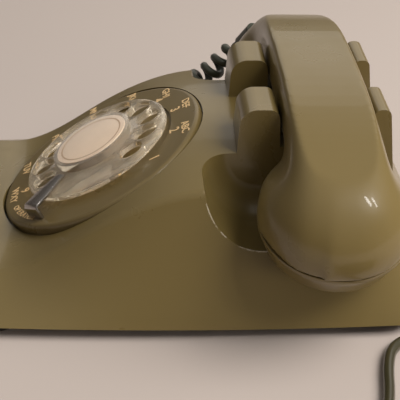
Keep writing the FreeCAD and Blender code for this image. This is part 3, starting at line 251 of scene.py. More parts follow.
    @classmethod
    def edge_chips(cls) -> bpy.types.NodeTree:
        """Mask of small knocks along the sharp edges of one side, up to a height.

        Returns:
            The group, with a Mask output.
        """
        if "edge_chips" in cls._made:
            return cls._made["edge_chips"]
        takes = dict.fromkeys(("Radius", "Scale", "Low", "High", "Side"), cls.number)
        tree, start, end = cls._blank("edge_chips", takes, {"Mask": cls.number})
        place = tree.nodes.new("ShaderNodeTexCoord")
        shape = tree.nodes.new("ShaderNodeNewGeometry")
        rounded = tree.nodes.new("ShaderNodeBevel")
        rounded.samples = cls.edge_samples
        tree.links.new(start.outputs["Radius"], rounded.inputs["Radius"])
        turn = tree.nodes.new("ShaderNodeVectorMath")
        turn.operation = "DOT_PRODUCT"
        tree.links.new(shape.outputs["Normal"], turn.inputs[0])
        tree.links.new(rounded.outputs["Normal"], turn.inputs[1])
        edge = cls._share(tree, turn.outputs["Value"], cls.edge_range)
        noise = cls._noise(tree, place.outputs["Object"], cls.spot_detail)
        tree.links.new(start.outputs["Scale"], noise.inputs["Scale"])
        spots = cls._share(tree, noise.outputs["Fac"], cls.spot_range)
        parts = tree.nodes.new("ShaderNodeSeparateXYZ")
        tree.links.new(place.outputs["Object"], parts.inputs["Vector"])
        band = cls._share(tree, parts.outputs["Z"], (0.0, 1.0))
        band.interpolation_type = "SMOOTHSTEP"
        band.inputs["To Min"].default_value, band.inputs["To Max"].default_value = (1.0, 0.0)
        tree.links.new(start.outputs["Low"], band.inputs["From Min"])
        tree.links.new(start.outputs["High"], band.inputs["From Max"])
        above = cls._maths(tree, "GREATER_THAN", parts.outputs["Z"], cls.chip_floor)
        beside = cls._maths(tree, "GREATER_THAN", parts.outputs["X"], start.outputs["Side"])
        corner = cls._maths(tree, "MULTIPLY", above, beside)
        inside = cls._maths(tree, "MULTIPLY", band.outputs["Result"], corner)
        knocks = cls._maths(tree, "MULTIPLY", edge.outputs["Result"], spots.outputs["Result"])
        tree.links.new(cls._maths(tree, "MULTIPLY", knocks, inside), end.inputs["Mask"])
        return tree

    @classmethod
    def painted_gap_shade(cls) -> bpy.types.NodeTree:
        """Painted shade: darken a colour where it lies deep in a narrow gap.

        Returns:
            The group, with a Color output.
        """
        if "painted_gap_shade" in cls._made:
            return cls._made["painted_gap_shade"]
        takes = {"Color": cls.colour, "Painted shade": cls.colour, "Reach": cls.number}
        tree, start, end = cls._blank("painted_gap_shade", takes, {"Color": cls.colour})
        # Painted shade: the colour turns to the shade colour where ambient occlusion finds the surface
        # hidden in a narrow gap.
        hidden = tree.nodes.new("ShaderNodeAmbientOcclusion")
        hidden.samples = cls.gap_samples
        tree.links.new(start.outputs["Reach"], hidden.inputs["Distance"])
        spread = cls._share(tree, hidden.outputs["AO"], cls.gap_range)
        mix = tree.nodes.new("ShaderNodeMix")
        mix.data_type = "RGBA"
        tree.links.new(spread.outputs["Result"], mix.inputs["Factor"])
        tree.links.new(start.outputs["Painted shade"], mix.inputs["A"])
        tree.links.new(start.outputs["Color"], mix.inputs["B"])
        tree.links.new(mix.outputs["Result"], end.inputs["Color"])
        return tree


@dataclass(frozen=True)
class Finish:
    """One finish: a base and a tone it drifts to, its gloss, its grain, its wear and its painted shade in
    narrow gaps.
    """

    name: str
    base: Colour
    tone: Colour
    kind: Surface = Surface.MOULDED
    low_rough: float = 0.22
    high_rough: float = 0.36
    coat: float = 0.0
    drift_scale: float = 14.0
    grain_scale: float = 900.0
    grain_depth: float = 0.05
    stretch: Point = (1.0, 1.0, 1.0)
    chip: Colour | None = None
    # Colour of the painted shade laid into narrow gaps.
    gap_shade: Colour | None = None
    index: float = 1.49
    clearness: float = 0.0
    coat_rough: float = 0.045
    bump_height: float = 0.2 * MM
    chip_radius: float = 1.1 * MM
    chip_scale: float = 260.0
    chip_side: float = 58.0 * MM
    chip_band: tuple[float, float] = (52.0 * MM, 62.0 * MM)
    # How far the painted shade in narrow gaps reaches.
    gap_shade_reach: float = 1.6 * MM
    film_start: float = 0.5
    film_veil: tuple[float, float] = (0.03, 0.4)
    shadow_tint: Colour = (0.9, 0.88, 0.84)

    def material(self) -> bpy.types.Material:
        """The finish's material, made the first time it is asked for."""
        known = bpy.data.materials.get(self.name)
        return known if known else self._make()

    def _make(self) -> bpy.types.Material:
        """Build the node tree of the finish.

        Returns:
            The new material.
        """
        made = bpy.data.materials.new(self.name)
        made.use_nodes = True
        tree = made.node_tree
        shader = tree.nodes["Principled BSDF"]
        drift = tree.nodes.new("ShaderNodeGroup")
        drift.node_tree = NodeGroups.mottle()
        drift.inputs["Base"].default_value = (*self.base, 1.0)
        drift.inputs["Tone"].default_value = (*self.tone, 1.0)
        drift.inputs["Scale"].default_value = self.drift_scale
        colour = drift.outputs["Color"]
        if self.chip:
            colour = self._chipped(tree, colour)
        # Painted shade: darken the colour where narrow gaps hide the surface.
        if self.gap_shade:
            colour = self._paint_gap_shade(tree, colour)
        tree.links.new(colour, shader.inputs["Base Color"])
        grain = tree.nodes.new("ShaderNodeGroup")
        grain.node_tree = NodeGroups.grain()
        grain.inputs["Scale"].default_value = self.grain_scale
        grain.inputs["Low"].default_value = self.low_rough
        grain.inputs["High"].default_value = self.high_rough
        grain.inputs["Stretch"].default_value = self.stretch
        tree.links.new(grain.outputs["Roughness"], shader.inputs["Roughness"])
        bump = tree.nodes.new("ShaderNodeBump")
        bump.inputs["Strength"].default_value = self.grain_depth
        bump.inputs["Distance"].default_value = self.bump_height
        tree.links.new(grain.outputs["Height"], bump.inputs["Height"])
        tree.links.new(bump.outputs["Normal"], shader.inputs["Normal"])
        shader.inputs["IOR"].default_value = self.index
        shader.inputs["Coat Weight"].default_value = self.coat
        shader.inputs["Coat Roughness"].default_value = self.coat_rough
        if self.kind is Surface.METAL:
            shader.inputs["Metallic"].default_value = 1.0
        if self.kind is Surface.FILM:
            self._thin_film(tree, shader)
        if self.kind is Surface.CLEAR:
            shader.inputs["Transmission Weight"].default_value = self.clearness
            self._let_light_through(tree, shader)
        return made

    def _chipped(self, tree: bpy.types.NodeTree, colour: bpy.types.NodeSocket) -> bpy.types.NodeSocket:
        """Mix pale knocks on the edges into the colour.

        Args:
            tree: The material's nodes.
            colour: The colour before the knocks.

        Returns:
            The colour with the knocks in it.
        """
        chips = tree.nodes.new("ShaderNodeGroup")
        chips.node_tree = NodeGroups.edge_chips()
        chips.inputs["Radius"].default_value = self.chip_radius
        chips.inputs["Side"].default_value = self.chip_side
        chips.inputs["Scale"].default_value = self.chip_scale
        chips.inputs["Low"].default_value, chips.inputs["High"].default_value = self.chip_band
        mix = tree.nodes.new("ShaderNodeMix")
        mix.data_type = "RGBA"
        mix.inputs["B"].default_value = (*self.chip, 1.0)
        tree.links.new(chips.outputs["Mask"], mix.inputs["Factor"])
        tree.links.new(colour, mix.inputs["A"])
        return mix.outputs["Result"]

    def _paint_gap_shade(self, tree: bpy.types.NodeTree, colour: bpy.types.NodeSocket) -> bpy.types.NodeSocket:
        """Paint shade into the colour in narrow gaps.

        Args:
            tree: The material's nodes.
            colour: The colour before the painted shade.

        Returns:
            The colour with painted shade in the gaps.
        """
        gaps = tree.nodes.new("ShaderNodeGroup")
        gaps.node_tree = NodeGroups.painted_gap_shade()
        gaps.inputs["Painted shade"].default_value = (*self.gap_shade, 1.0)
        gaps.inputs["Reach"].default_value = self.gap_shade_reach
        tree.links.new(colour, gaps.inputs["Color"])
        return gaps.outputs["Color"]

    def _thin_film(self, tree: bpy.types.NodeTree, shader: bpy.types.Node) -> None:
        """Let a thin clear cover show what is under it, and reflect more at a glancing angle.

        Args:
            tree: The material's nodes.
            shader: The surface shader.
        """
        glance = tree.nodes.new("ShaderNodeLayerWeight")
        veil = tree.nodes.new("ShaderNodeMapRange")
        veil.inputs["From Min"].default_value = self.film_start
        veil.inputs["To Min"].default_value, veil.inputs["To Max"].default_value = self.film_veil
        tree.links.new(glance.outputs["Facing"], veil.inputs["Value"])
        tree.links.new(veil.outputs["Result"], shader.inputs["Alpha"])

    def _let_light_through(self, tree: bpy.types.NodeTree, shader: bpy.types.Node) -> None:
        """Let shadow rays pass through a clear piece.

        Args:
            tree: The material's nodes.
            shader: The surface shader.
        """
        output = tree.nodes["Material Output"]
        ray = tree.nodes.new("ShaderNodeLightPath")
        clear = tree.nodes.new("ShaderNodeBsdfTransparent")
        clear.inputs["Color"].default_value = (*self.shadow_tint, 1.0)
        mix = tree.nodes.new("ShaderNodeMixShader")
        tree.links.new(ray.outputs["Is Shadow Ray"], mix.inputs["Fac"])
        tree.links.new(shader.outputs["BSDF"], mix.inputs[1])
        tree.links.new(clear.outputs["BSDF"], mix.inputs[2])
        tree.links.new(mix.outputs["Shader"], output.inputs["Surface"])


# The moulded plastics, MOSS and GRIP, carry painted shade: a near-black colour laid into narrow gaps.
MOSS = Finish("moss_plastic", (0.165, 0.12, 0.042), (0.147, 0.106, 0.035), low_rough=0.27, high_rough=0.38,
              coat=0.3, chip=(0.76, 0.7, 0.58), gap_shade=(0.02, 0.016, 0.007))
GRIP = replace(MOSS, name="moss_grip", chip=None)
PLATE = Finish("plate_plastic", (0.155, 0.112, 0.044), (0.135, 0.097, 0.037), low_rough=0.26,
               high_rough=0.38, coat=0.1)
CLEAR = Finish("clear_acrylic", (0.84, 0.76, 0.63), (0.78, 0.7, 0.57), kind=Surface.CLEAR, low_rough=0.02,
               high_rough=0.08, coat=1.0, grain_depth=0.02, index=1.2, clearness=0.84)
COVER = Finish("clear_cover", (0.9, 0.82, 0.74), (0.86, 0.78, 0.7), kind=Surface.FILM, low_rough=0.03,
               high_rough=0.08, grain_depth=0.0)
CARD = Finish("cream_card", (0.9, 0.72, 0.56), (0.84, 0.67, 0.51), low_rough=0.6, high_rough=0.8,
              grain_scale=2500.0, drift_scale=60.0)
PRINT = Finish("gold_print", (0.84, 0.6, 0.32), (0.74, 0.51, 0.26), low_rough=0.4, high_rough=0.55)
CARD_PRINT = Finish("card_print", (0.5, 0.34, 0.22), (0.44, 0.3, 0.19), low_rough=0.6, high_rough=0.8)
STEEL = Finish("bright_steel", (0.46, 0.43, 0.41), (0.36, 0.34, 0.32), kind=Surface.METAL, low_rough=0.2,
               high_rough=0.34, stretch=(1.0, 9.0, 1.0))
WORKS = Finish("plated_works", (0.6, 0.56, 0.48), (0.48, 0.44, 0.36), kind=Surface.METAL, low_rough=0.3,
               high_rough=0.5)
BRASS = Finish("brass_works", (0.72, 0.5, 0.2), (0.56, 0.38, 0.15), kind=Surface.METAL, low_rough=0.2,
               high_rough=0.4)
PAN = Finish("pan_paint", (0.03, 0.03, 0.026), (0.045, 0.043, 0.036), low_rough=0.4, high_rough=0.6)
BOARD = Finish("black_phenolic", (0.025, 0.02, 0.018), (0.04, 0.03, 0.025), low_rough=0.35,
               high_rough=0.55)
WINDING = Finish("wire_winding", (0.36, 0.14, 0.05), (0.24, 0.09, 0.03), low_rough=0.3, high_rough=0.5,
                 stretch=(1.0, 6.0, 1.0), grain_depth=0.3)
RUBBER = Finish("foot_rubber", (0.012, 0.012, 0.011), (0.022, 0.021, 0.02), low_rough=0.55,
                high_rough=0.75)
CORD = Finish("olive_cord", (0.05, 0.045, 0.024), (0.038, 0.034, 0.018), low_rough=0.18, high_rough=0.3,
              coat=0.3)
CURLY = Finish("curly_cord", (0.052, 0.055, 0.04), (0.038, 0.041, 0.03), low_rough=0.28, high_rough=0.42)
STRAP = Finish("tie_strap", (0.02, 0.02, 0.02), (0.03, 0.03, 0.028), low_rough=0.5, high_rough=0.7)
PLUG = Finish("plug_plastic", (0.55, 0.46, 0.3), (0.48, 0.4, 0.26), low_rough=0.15, high_rough=0.28,
              coat=0.2)

CAD_FINISH: dict[str, Finish] = {
    "base_pan": PAN, "feet": RUBBER, "pan_screws": STEEL, "number_card": CARD, "dial_back": WORKS,
    "dial_shaft": BRASS, "main_gear": BRASS, "governor": BRASS, "dial_bracket": WORKS, "hook_lever": WORKS,
    "hook_frame": WORKS, "contact_stack": BOARD, "gong_front": BRASS, "gong_rear": BRASS,
    "ringer_frame": WORKS, "ringer_coil": WINDING, "clapper": WORKS, "volume_wheel": BOARD,
    "network_block": BOARD, "receiver_unit": WORKS, "transmitter_unit": WORKS, "plunger_left": CLEAR,
    "plunger_right": CLEAR, "cord_tie": STRAP, "line_plug": PLUG,
}


@dataclass
class Workshop:
    """Plain modelling steps that the sub-assemblies share, on the loaded frame."""

    frame: dict
    merge_gap: float = 0.02 * MM
    bevel_segments: int = 2

    @staticmethod
    def alone(piece: bpy.types.Object) -> None:
        """Select one piece and make it the active one.

        Args:
            piece: The piece to work on.
        """
        if bpy.context.mode != "OBJECT":
            bpy.ops.object.mode_set(mode="OBJECT")
        bpy.ops.object.select_all(action="DESELECT")
        piece.select_set(True)
        bpy.context.view_layer.objects.active = piece

    def settle(self, piece: bpy.types.Object) -> None:
        """Move a piece's place into its mesh."""
        self.alone(piece)
        bpy.ops.object.transform_apply(location=True, rotation=True, scale=True)

    def apply(self, piece: bpy.types.Object, kind: str, **settings: object) -> None:
        """Add a modifier with its settings and apply it.

        Args:
            piece: The piece to change.
            kind: Blender's name of the modifier.
            settings: Values for the modifier's fields.
        """
        self.alone(piece)
        modifier = piece.modifiers.new(kind.lower(), kind)
        for field_name, value in settings.items():
            setattr(modifier, field_name, value)
        bpy.ops.object.modifier_apply(modifier=modifier.name)

    def dress(self, piece: bpy.types.Object, finish: Finish, body: str, slot: str) -> None:
        """Give a finished piece its material and its body.

        Args:
            piece: The finished piece.
            finish: Its finish.
            body: The body that it rides.
            slot: The record's material slot; not used.
        """
        piece.data.materials.clear()
        piece.data.materials.append(finish.material())
        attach(piece, body)
        LOG.info("%s rides %s in %s", piece.name, body, finish.name)

    def copy_of(self, node: str, name: str) -> bpy.types.Object:
        """Copy a node as it is.

        Args:
            node: The CAD node.
            name: Name of the new piece.

        Returns:
            The new piece, which stands for the node.
        """
        source = self.frame["nodes"][node]
        piece = bpy.data.objects.new(name, source.data.copy())
        bpy.context.scene.collection.objects.link(piece)
        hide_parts(node)
        return piece

    def softened(self, node: str, name: str, bevel: float, smooth: float) -> bpy.types.Object:
        """Copy a node, merge it, round its sharp edges and shade it.

        Args:
            node: The CAD node.
            name: Name of the new piece.
            bevel: Width of the rounded edges.
            smooth: Largest angle shaded smooth, in degrees.

        Returns:
            The new piece, which stands for the node.
        """
        piece = self.copy_of(node, name)
        self.alone(piece)
        bpy.ops.object.mode_set(mode="EDIT")
        bpy.ops.mesh.select_all(action="SELECT")
        bpy.ops.mesh.remove_doubles(threshold=self.merge_gap)
        bpy.ops.object.mode_set(mode="OBJECT")
        self.apply(piece, "BEVEL", width=bevel, segments=self.bevel_segments, limit_method="ANGLE",
                   angle_limit=math.radians(smooth), use_clamp_overlap=True)
        bpy.ops.object.shade_smooth_by_angle(angle=math.radians(smooth))
        return piece


@dataclass
class Housing:
    """Moulded shell of the base."""

    shop: Workshop
    lip_y: float = -105.1 * MM
    lip_top: float = 17.2 * MM
    face_y: float = -90.0 * MM
    face_top: float = 18.25 * MM
    least_drop: float = 0.01 * MM
    upward: float = 0.5

    def build(self) -> None:
        """Make and dress the shell."""
        shell = self.shop.copy_of("housing", "housing_shell")
        self._even_lip(shell.data)
        self.shop.dress(shell, MOSS, "root", "shell")

    def _even_lip(self, mesh: bpy.types.Mesh) -> None:
        """Lower the swelling behind the front lip to an even slope, so that lip and face meet.

        Args:
            mesh: The shell's mesh.
        """
        normals = [corner.vector.copy() for corner in mesh.corner_normals]
        slope = (self.face_top - self.lip_top) / (self.face_y - self.lip_y)
        flat = Vector((0.0, -slope, 1.0)).normalized()
        lowered = set()
        for vertex in mesh.vertices:
            if not self.lip_y < vertex.co.y < self.face_y:
                continue
            limit = self.lip_top + slope * (vertex.co.y - self.lip_y)
            if vertex.co.z > limit + self.least_drop:
                vertex.co.z = limit
                lowered.add(vertex.index)
        for loop in mesh.loops:
            if loop.vertex_index in lowered and normals[loop.index].z > self.upward:
                normals[loop.index] = flat
        mesh.normals_split_custom_set(normals)


@dataclass
class Dial:
    """Number plate with its print, clear finger wheel, the card's cover and ring, and the finger stop."""

    shop: Workshop
    centre: Point = (0.0, -0.041, 0.044)
    tilt: float = 28.0
    first_angle: float = 46.0
    pitch: float = 28.6
    digit_circle: float = 42.2 * MM
    letter_circle: float = 48.3 * MM
    digit_size: float = 7.2 * MM
    letter_size: float = 5.7 * MM
    stroke: float = 0.09 * MM
    print_thickness: float = 0.06 * MM
    print_lift: float = 0.05 * MM
    type_steps: int = 3
    longest_straight: int = 3
    curved_size: float = 0.75
    curved_step: float = 3.5
    wheel_edge: float = 0.35 * MM
    cover_edge: float = 0.15 * MM
    stop_edge: float = 0.3 * MM
    smooth: float = 30.0
    cover_gap: float = 0.04 * MM
    ring_radius: float = 15.6 * MM
    ring_line: float = 0.8 * MM
    ring_points: int = 64
    ring_rise: float = 0.24 * MM
    labels: tuple[tuple[str, str], ...] = (
        ("1", ""), ("2", "ABC"), ("3", "DEF"), ("4", "GHI"), ("5", "JKL"),
        ("6", "MNO"), ("7", "PRS"), ("8", "TUV"), ("9", "WXY"), ("0", "OPERATOR"),
    )

    def build(self) -> None:
        """Make the dial's pieces."""
        plate = self.shop.copy_of("number_plate", "dial_plate")
        self.shop.dress(plate, PLATE, "root", "plate")
        wheel = self.shop.softened("finger_wheel", "clear_finger_wheel", self.wheel_edge, self.smooth)
        self.shop.dress(wheel, CLEAR, "dial", "clear")
        cover = self.shop.softened("card_retainer", "clear_card_cover", self.cover_edge, self.smooth)
        self.shop.apply(cover, "DISPLACE", strength=-self.cover_gap, mid_level=0.0)
        self.shop.dress(cover, COVER, "dial", "clear")
        stop = self.shop.softened("finger_stop", "steel_finger_stop", self.stop_edge, self.smooth)
        self.shop.dress(stop, STEEL, "root", "steel")
        self._print_labels()
        self._card_ring()

    def place(self) -> Matrix:
        """Frame of the dial: its middle, leaning back."""
        return Matrix.Translation(self.centre) @ Matrix.Rotation(math.radians(self.tilt), 4, "X")

    def _word(self, text: str, size: float, at: Point, turn: float) -> bpy.types.Object:
        """One flat word on the plate.

        Args:
            text: The letters.
            size: Height of the type.
            at: Middle of the word in the dial's frame.
            turn: Turn about the dial's axis, in radians.

        Returns:
            The word as a mesh, in place.
        """
        bpy.ops.object.select_all(action="DESELECT")
        bpy.ops.object.text_add()
        word = bpy.context.object
        word.data.body = text
        word.data.size = size
        word.data.align_x = "CENTER"
        word.data.align_y = "CENTER"
        word.data.extrude = self.print_thickness
        word.data.offset = self.stroke
        word.data.resolution_u = self.type_steps
        self.shop.alone(word)
        bpy.ops.object.convert(target="MESH")
        word = bpy.context.object
        word.matrix_world = self.place() @ Matrix.Translation(at) @ Matrix.Rotation(turn, 4, "Z")
        self.shop.settle(word)
        return word

    def _on_circle(self, radius: float, angle: float) -> Point:
        """Point on a circle of the plate, the angle clockwise from the top."""
        turn = math.radians(angle)
        return (radius * math.sin(turn), radius * math.cos(turn), self.print_lift + self.print_thickness)

    def _print_labels(self) -> None:
        """Print each hole's number and letters on the plate."""
        words: list[bpy.types.Object] = []
        for index, (digit, letters) in enumerate(self.labels):
            angle = self.first_angle - index * self.pitch
            inner = self._on_circle(self.digit_circle, angle)
            outer = self._on_circle(self.letter_circle, angle)
            words.append(self._word(digit, self.digit_size, inner, 0.0))
            if len(letters) > self.longest_straight:
                words += self._curved_word(letters, angle)
            elif letters:
                words.append(self._word(letters, self.letter_size, outer, 0.0))
        self.shop.alone(words[0])
        for word in words:
            word.select_set(True)
        bpy.ops.object.join()
        words[0].name = "dial_print"
        self.shop.dress(words[0], PRINT, "root", "card")

    def _curved_word(self, text: str, middle: float) -> list[bpy.types.Object]:
        """Letters of a word along the lower edge of the plate.

        Args:
            text: The word.
            middle: Angle of its middle, clockwise from the top.

        Returns:
            One mesh for each letter.
        """
        letters = []
        size = self.curved_size * self.letter_size
        for index, letter in enumerate(text):
            angle = middle - (index - (len(text) - 1) / 2) * self.curved_step
            at = self._on_circle(self.letter_circle, angle)
            letters.append(self._word(letter, size, at, math.radians(180.0 - angle)))
        return letters

    def _card_ring(self) -> None:
        """Print a fine ring near the edge of the card."""
        low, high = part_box("number_card")
        middle = (low + high) / 2
        bpy.ops.object.select_all(action="DESELECT")
        bpy.ops.mesh.primitive_circle_add(vertices=self.ring_points, radius=self.ring_radius)
        ring = bpy.context.object
        ring.name = "card_ring"
        bpy.ops.object.mode_set(mode="EDIT")
        bpy.ops.mesh.select_all(action="SELECT")
        bpy.ops.mesh.extrude_edges_move()
        grow = 1.0 + self.ring_line / self.ring_radius
        bpy.ops.transform.resize(value=(grow, grow, 1.0))
        bpy.ops.object.mode_set(mode="OBJECT")
        self.shop.apply(ring, "SOLIDIFY", thickness=self.print_thickness, offset=1.0)
        bpy.ops.object.mode_set(mode="EDIT")
        bpy.ops.mesh.select_all(action="SELECT")
        bpy.ops.mesh.normals_make_consistent(inside=False)
        bpy.ops.object.mode_set(mode="OBJECT")
        lean = Matrix.Rotation(math.radians(self.tilt), 4, "X")
        rise = Matrix.Translation((0.0, 0.0, self.ring_rise))
        ring.matrix_world = Matrix.Translation(middle) @ lean @ rise
        self.shop.settle(ring)
        self.shop.dress(ring, CARD_PRINT, "dial", "card")


@dataclass
class Handset:
    """Arched handle with its two cups and screwed caps."""

    shop: Workshop
    smooth: float = 34.0
    cap_edge: float = 0.25 * MM
    voxel: float = 0.9 * MM
    smooth_share: float = 0.5
    edge_passes: int = 4
    dome_passes: int = 60
    dome_start: float = 84.0 * MM
    dome_full: float = 94.0 * MM
    rim_low: float = 44.0 * MM
    rim_high: float = 50.0 * MM

    def build(self) -> None:
        """Make and dress the handset."""
        grip = self.shop.copy_of("handset_body", "handset_grip")
        self._even_out(grip)
        self.shop.dress(grip, GRIP, "handset", "shell")
        for node in ("receiver_cap", "transmitter_cap"):
            cap = self.shop.softened(node, node + "_moulded", self.cap_edge, self.smooth)
            self.shop.dress(cap, GRIP, "handset", "shell")

    def _even_out(self, grip: bpy.types.Object) -> None:
        """Give the grip an even mesh with softened edges and smoothly domed cups.

        Args:
            grip: The copy of the handset's body.
        """
        self.shop.apply(grip, "REMESH", mode="VOXEL", voxel_size=self.voxel)
        self.shop.apply(grip, "SMOOTH", factor=self.smooth_share, iterations=self.edge_passes)
        domes = grip.vertex_groups.new(name="domes")
        for vertex in grip.data.vertices:
            out = smooth_step((abs(vertex.co.x) - self.dome_start) / (self.dome_full - self.dome_start))
            up = smooth_step((vertex.co.z - self.rim_low) / (self.rim_high - self.rim_low))
            domes.add([vertex.index], out * up, "REPLACE")
        self.shop.apply(grip, "SMOOTH", factor=self.smooth_share, iterations=self.dome_passes,
                        vertex_group=domes.name)
        bpy.ops.object.shade_smooth()


@dataclass
class Cords:
    """Curly handset cord and round line cord, with their reliefs; routes are in millimetres."""

    shop: Workshop
    wire_radius: float = 2.3 * MM
    curl_radius: float = 4.6 * MM
    curl_pitch: float = 8.4 * MM
    curl_steps: int = 16
    curl_draw_steps: int = 2
    line_radius: float = 2.5 * MM
    route_steps: int = 6
    route_order: int = 3
    tube_sides: int = 3
    relief_edge: float = 0.4 * MM
    relief_smooth: float = 40.0
    relief_root: Point = (-94.5, 42.5, 69.5)
    relief_heading: Point = (-0.5, -0.5, -0.7)
    relief_length: float = 14.0
    straight_length: float = 10.0
    table_gap: float = 0.3
    curl_fall: tuple[Point, ...] = (
        (-107.0, 25.5, 45.5), (-106.8, 20.5, 40.5), (-107.8, 14.3, 35.5), (-111.6, 8.6, 29.5),
        (-117.3, 4.8, 23.0), (-124.0, 3.5, 17.0), (-130.7, 4.8, 12.2), (-136.4, 8.6, 9.0),
        (-140.2, 14.3, 7.5),
    )
    curl_loop: tuple[tuple[float, float], ...] = (
        (-141.5, 21.0), (-143.0, 36.0), (-149.0, 50.0), (-158.0, 62.5), (-165.0, 76.0), (-163.0, 90.0),
        (-152.5, 98.5),
    )
    curl_rise: tuple[Point, ...] = (
        (-139.0, 96.5, 8.0), (-127.0, 88.5, 10.5), (-113.0, 77.0, 13.0), (-101.0, 77.0, 13.0),
    )
    line_fall: tuple[Point, ...] = (
        (48.0, 120.3, 13.0), (48.0, 133.3, 13.0), (54.0, 147.0, 7.5), (67.0, 153.5, 3.4),
    )
    line_bend: tuple[tuple[float, float], ...] = (
        (80.0, 150.0), (88.5, 139.0), (91.5, 125.0), (92.5, 111.0), (94.5, 98.0), (101.5, 87.5),
        (115.0, 83.0), (132.0, 80.5),
    )
    line_climb: Point = (150.0, 75.5, 2.8)
    line_tail: tuple[Point, ...] = ((226.0, 66.0, 6.5), (244.0, 59.5, 4.2), (262.0, 52.0, 3.5))
    coil_lead_in: tuple[float, float] = (21.0, 5.0)
    coil_lead_out: tuple[float, float] = (5.0, 20.0)
    coil_layer_turns: int = 4
    coil_points: int = 16
    coil_step: float = 5.6
    coil_inner: float = 17.0
    coil_soft: float = 0.5
    coil_low: float = 3.9
    coil_x: float = 188.0
    coil_near_y: float = 70.0

    def build(self) -> None:
        """Make both cords and the reliefs."""
        self._curly()
        self._reliefs()
        self._line()

    def _curl_route(self) -> list[Sequence[float]]:
        """Control points of the curly cord's middle, from the handset's relief to the base.

        Returns:
            The points in millimetres.
        """
        heading = Vector(self.relief_heading).normalized()
        tip = Vector(self.relief_root) + heading * self.relief_length
        table = (self.curl_radius + self.wire_radius) / MM + self.table_gap
        lying = [(x, y, table) for x, y in self.curl_loop]
        return [tip, tip + heading * self.straight_length, *self.curl_fall, *lying, *self.curl_rise]

    def spline(self, name: str, points: Iterable[Sequence[float]], steps: int,
               radius: float = 0.0) -> bpy.types.Object:
        """A smooth curve with the route's points as its control points.

        Args:
            name: Name of the curve.
            points: Control points in millimetres.
            steps: Drawn steps between two points.
            radius: Radius of the tube, or 0 for a bare line.

        Returns:
            The curve.
        """
        places = [Vector(point) * MM for point in points]
        curve = bpy.data.curves.new(name, "CURVE")
        curve.dimensions = "3D"
        line = curve.splines.new("NURBS")
        line.points.add(len(places) - 1)
        for knot, place in zip(line.points, places):
            knot.co = (*place, 1.0)
        line.order_u = self.route_order
        line.use_endpoint_u = True
        line.resolution_u = steps
        curve.bevel_depth = radius
        curve.bevel_resolution = self.tube_sides if radius else 0
        curve.use_fill_caps = True
        made = bpy.data.objects.new(name, curve)
        bpy.context.scene.collection.objects.link(made)
        return made

    def run_of(self, points: Iterable[Sequence[float]], steps: int) -> list[Vector]:
        """Points along a route, as Blender draws its curve.

        Args:
            points: Control points in millimetres.
            steps: Drawn steps between two points.

        Returns:
            The drawn points in metres.
        """
        bare = self.spline("bare_run", points, steps)
        bpy.context.view_layer.update()
        drawn = bare.evaluated_get(bpy.context.evaluated_depsgraph_get())
        mesh = bpy.data.meshes.new_from_object(drawn)
        run = [vertex.co.copy() for vertex in mesh.vertices]
        bpy.data.meshes.remove(mesh)
        bpy.data.objects.remove(bare)
        return run

    @staticmethod
    def length_of(run: list[Vector]) -> float:
        """Length of a run in metres."""
        return sum((b - a).length for a, b in zip(run, run[1:]))

    @staticmethod
    def _frames(points: list[Vector]) -> tuple[list[float], list[Vector], list[Vector]]:
        """Distance and a steady pair of cross directions at each point of a run.

        Args:
            points: Points along the run.

        Returns:
            Distances, first directions and second directions.
        """
        far = [0.0]
        for first, second in zip(points, points[1:]):
            far.append(far[-1] + (second - first).length)
        across = (points[1] - points[0]).cross(Vector((0.0, 0.0, 1.0))).normalized()
        sides, lifts = [], []
        for index in range(len(points)):
            ahead = points[min(index + 1, len(points) - 1)] - points[max(index - 1, 0)]
            heading = ahead.normalized()
            across = (across - heading * across.dot(heading)).normalized()
            sides.append(across)
            lifts.append(heading.cross(across))
        return far, sides, lifts

    def _helix(self, points: list[Vector]) -> list[Vector]:
        """Points of the curly cord's unbroken helix along a run.

        Args:
            points: Points along the run.

        Returns:
            The helix's points.
        """
        far, sides, lifts = self._frames(points)
        tail = 2 * self.wire_radius
        turns = int((far[-1] - 2 * tail) / self.curl_pitch)
        total = turns * self.curl_steps
        helix = [points[0]]
        at = 0
        for step in range(total + 1):
            along = tail + (far[-1] - 2 * tail) * step / total
            while at < len(far) - 2 and far[at + 1] < along:
                at += 1
            share = (along - far[at]) / (far[at + 1] - far[at])
            middle = points[at].lerp(points[at + 1], share)
            side, lift = sides[at].lerp(sides[at + 1], share), lifts[at].lerp(lifts[at + 1], share)
            radius = self.curl_radius * smooth_step(min(step, total - step) / self.curl_steps)
            turn = 2 * math.pi * step / self.curl_steps
            helix.append(middle + side * (radius * math.cos(turn)) + lift * (radius * math.sin(turn)))
        helix.append(points[-1])
        return helix

    def _curly(self) -> None:
        """Curly cord from the handset to the left side of the base."""
        run = self.run_of(self._curl_route(), self.route_steps)
        helix = [point / MM for point in self._helix(run)]
        cord = self.spline("handset_curly_cord", helix, self.curl_draw_steps, self.wire_radius)
        path = self.run_of(helix, self.curl_draw_steps)
        self.shop.alone(cord)
        bpy.ops.object.convert(target="MESH")
        cord = bpy.context.object
        bpy.ops.object.shade_smooth()
        cord.data.materials.append(CURLY.material())
        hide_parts("handset_cord")
        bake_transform(cord)

    def _reliefs(self) -> None:
        """Reliefs where the cords leave the handset and the base."""
        for node, body in (("handset_cord_relief", "handset"), ("base_cord_relief", "root"),
                           ("line_cord_relief", "root")):
            relief = self.shop.softened(node, node + "_moulded", self.relief_edge, self.relief_smooth)
            self.shop.dress(relief, CURLY, body, "cord")

    def _coil_point(self, turn: float) -> Vector:
        """Point of the put-away coil, in on the table and out again one layer up.

        Args:
            turn: Angle wound so far, in radians.

        Returns:
            The point in millimetres.
        """
        past = turn - 2 * math.pi * self.coil_layer_turns
        radius = self.coil_inner + self.coil_step * math.hypot(past, self.coil_soft) / (2 * math.pi)
        height = self.coil_low + self.coil_step * smooth_step(past / math.pi + 0.5)
        angle = turn - math.pi / 2
        middle_y = self.coil_near_y + self.coil_inner + self.coil_step * self.coil_layer_turns
        return Vector((self.coil_x + radius * math.cos(angle), middle_y + radius * math.sin(angle), height))

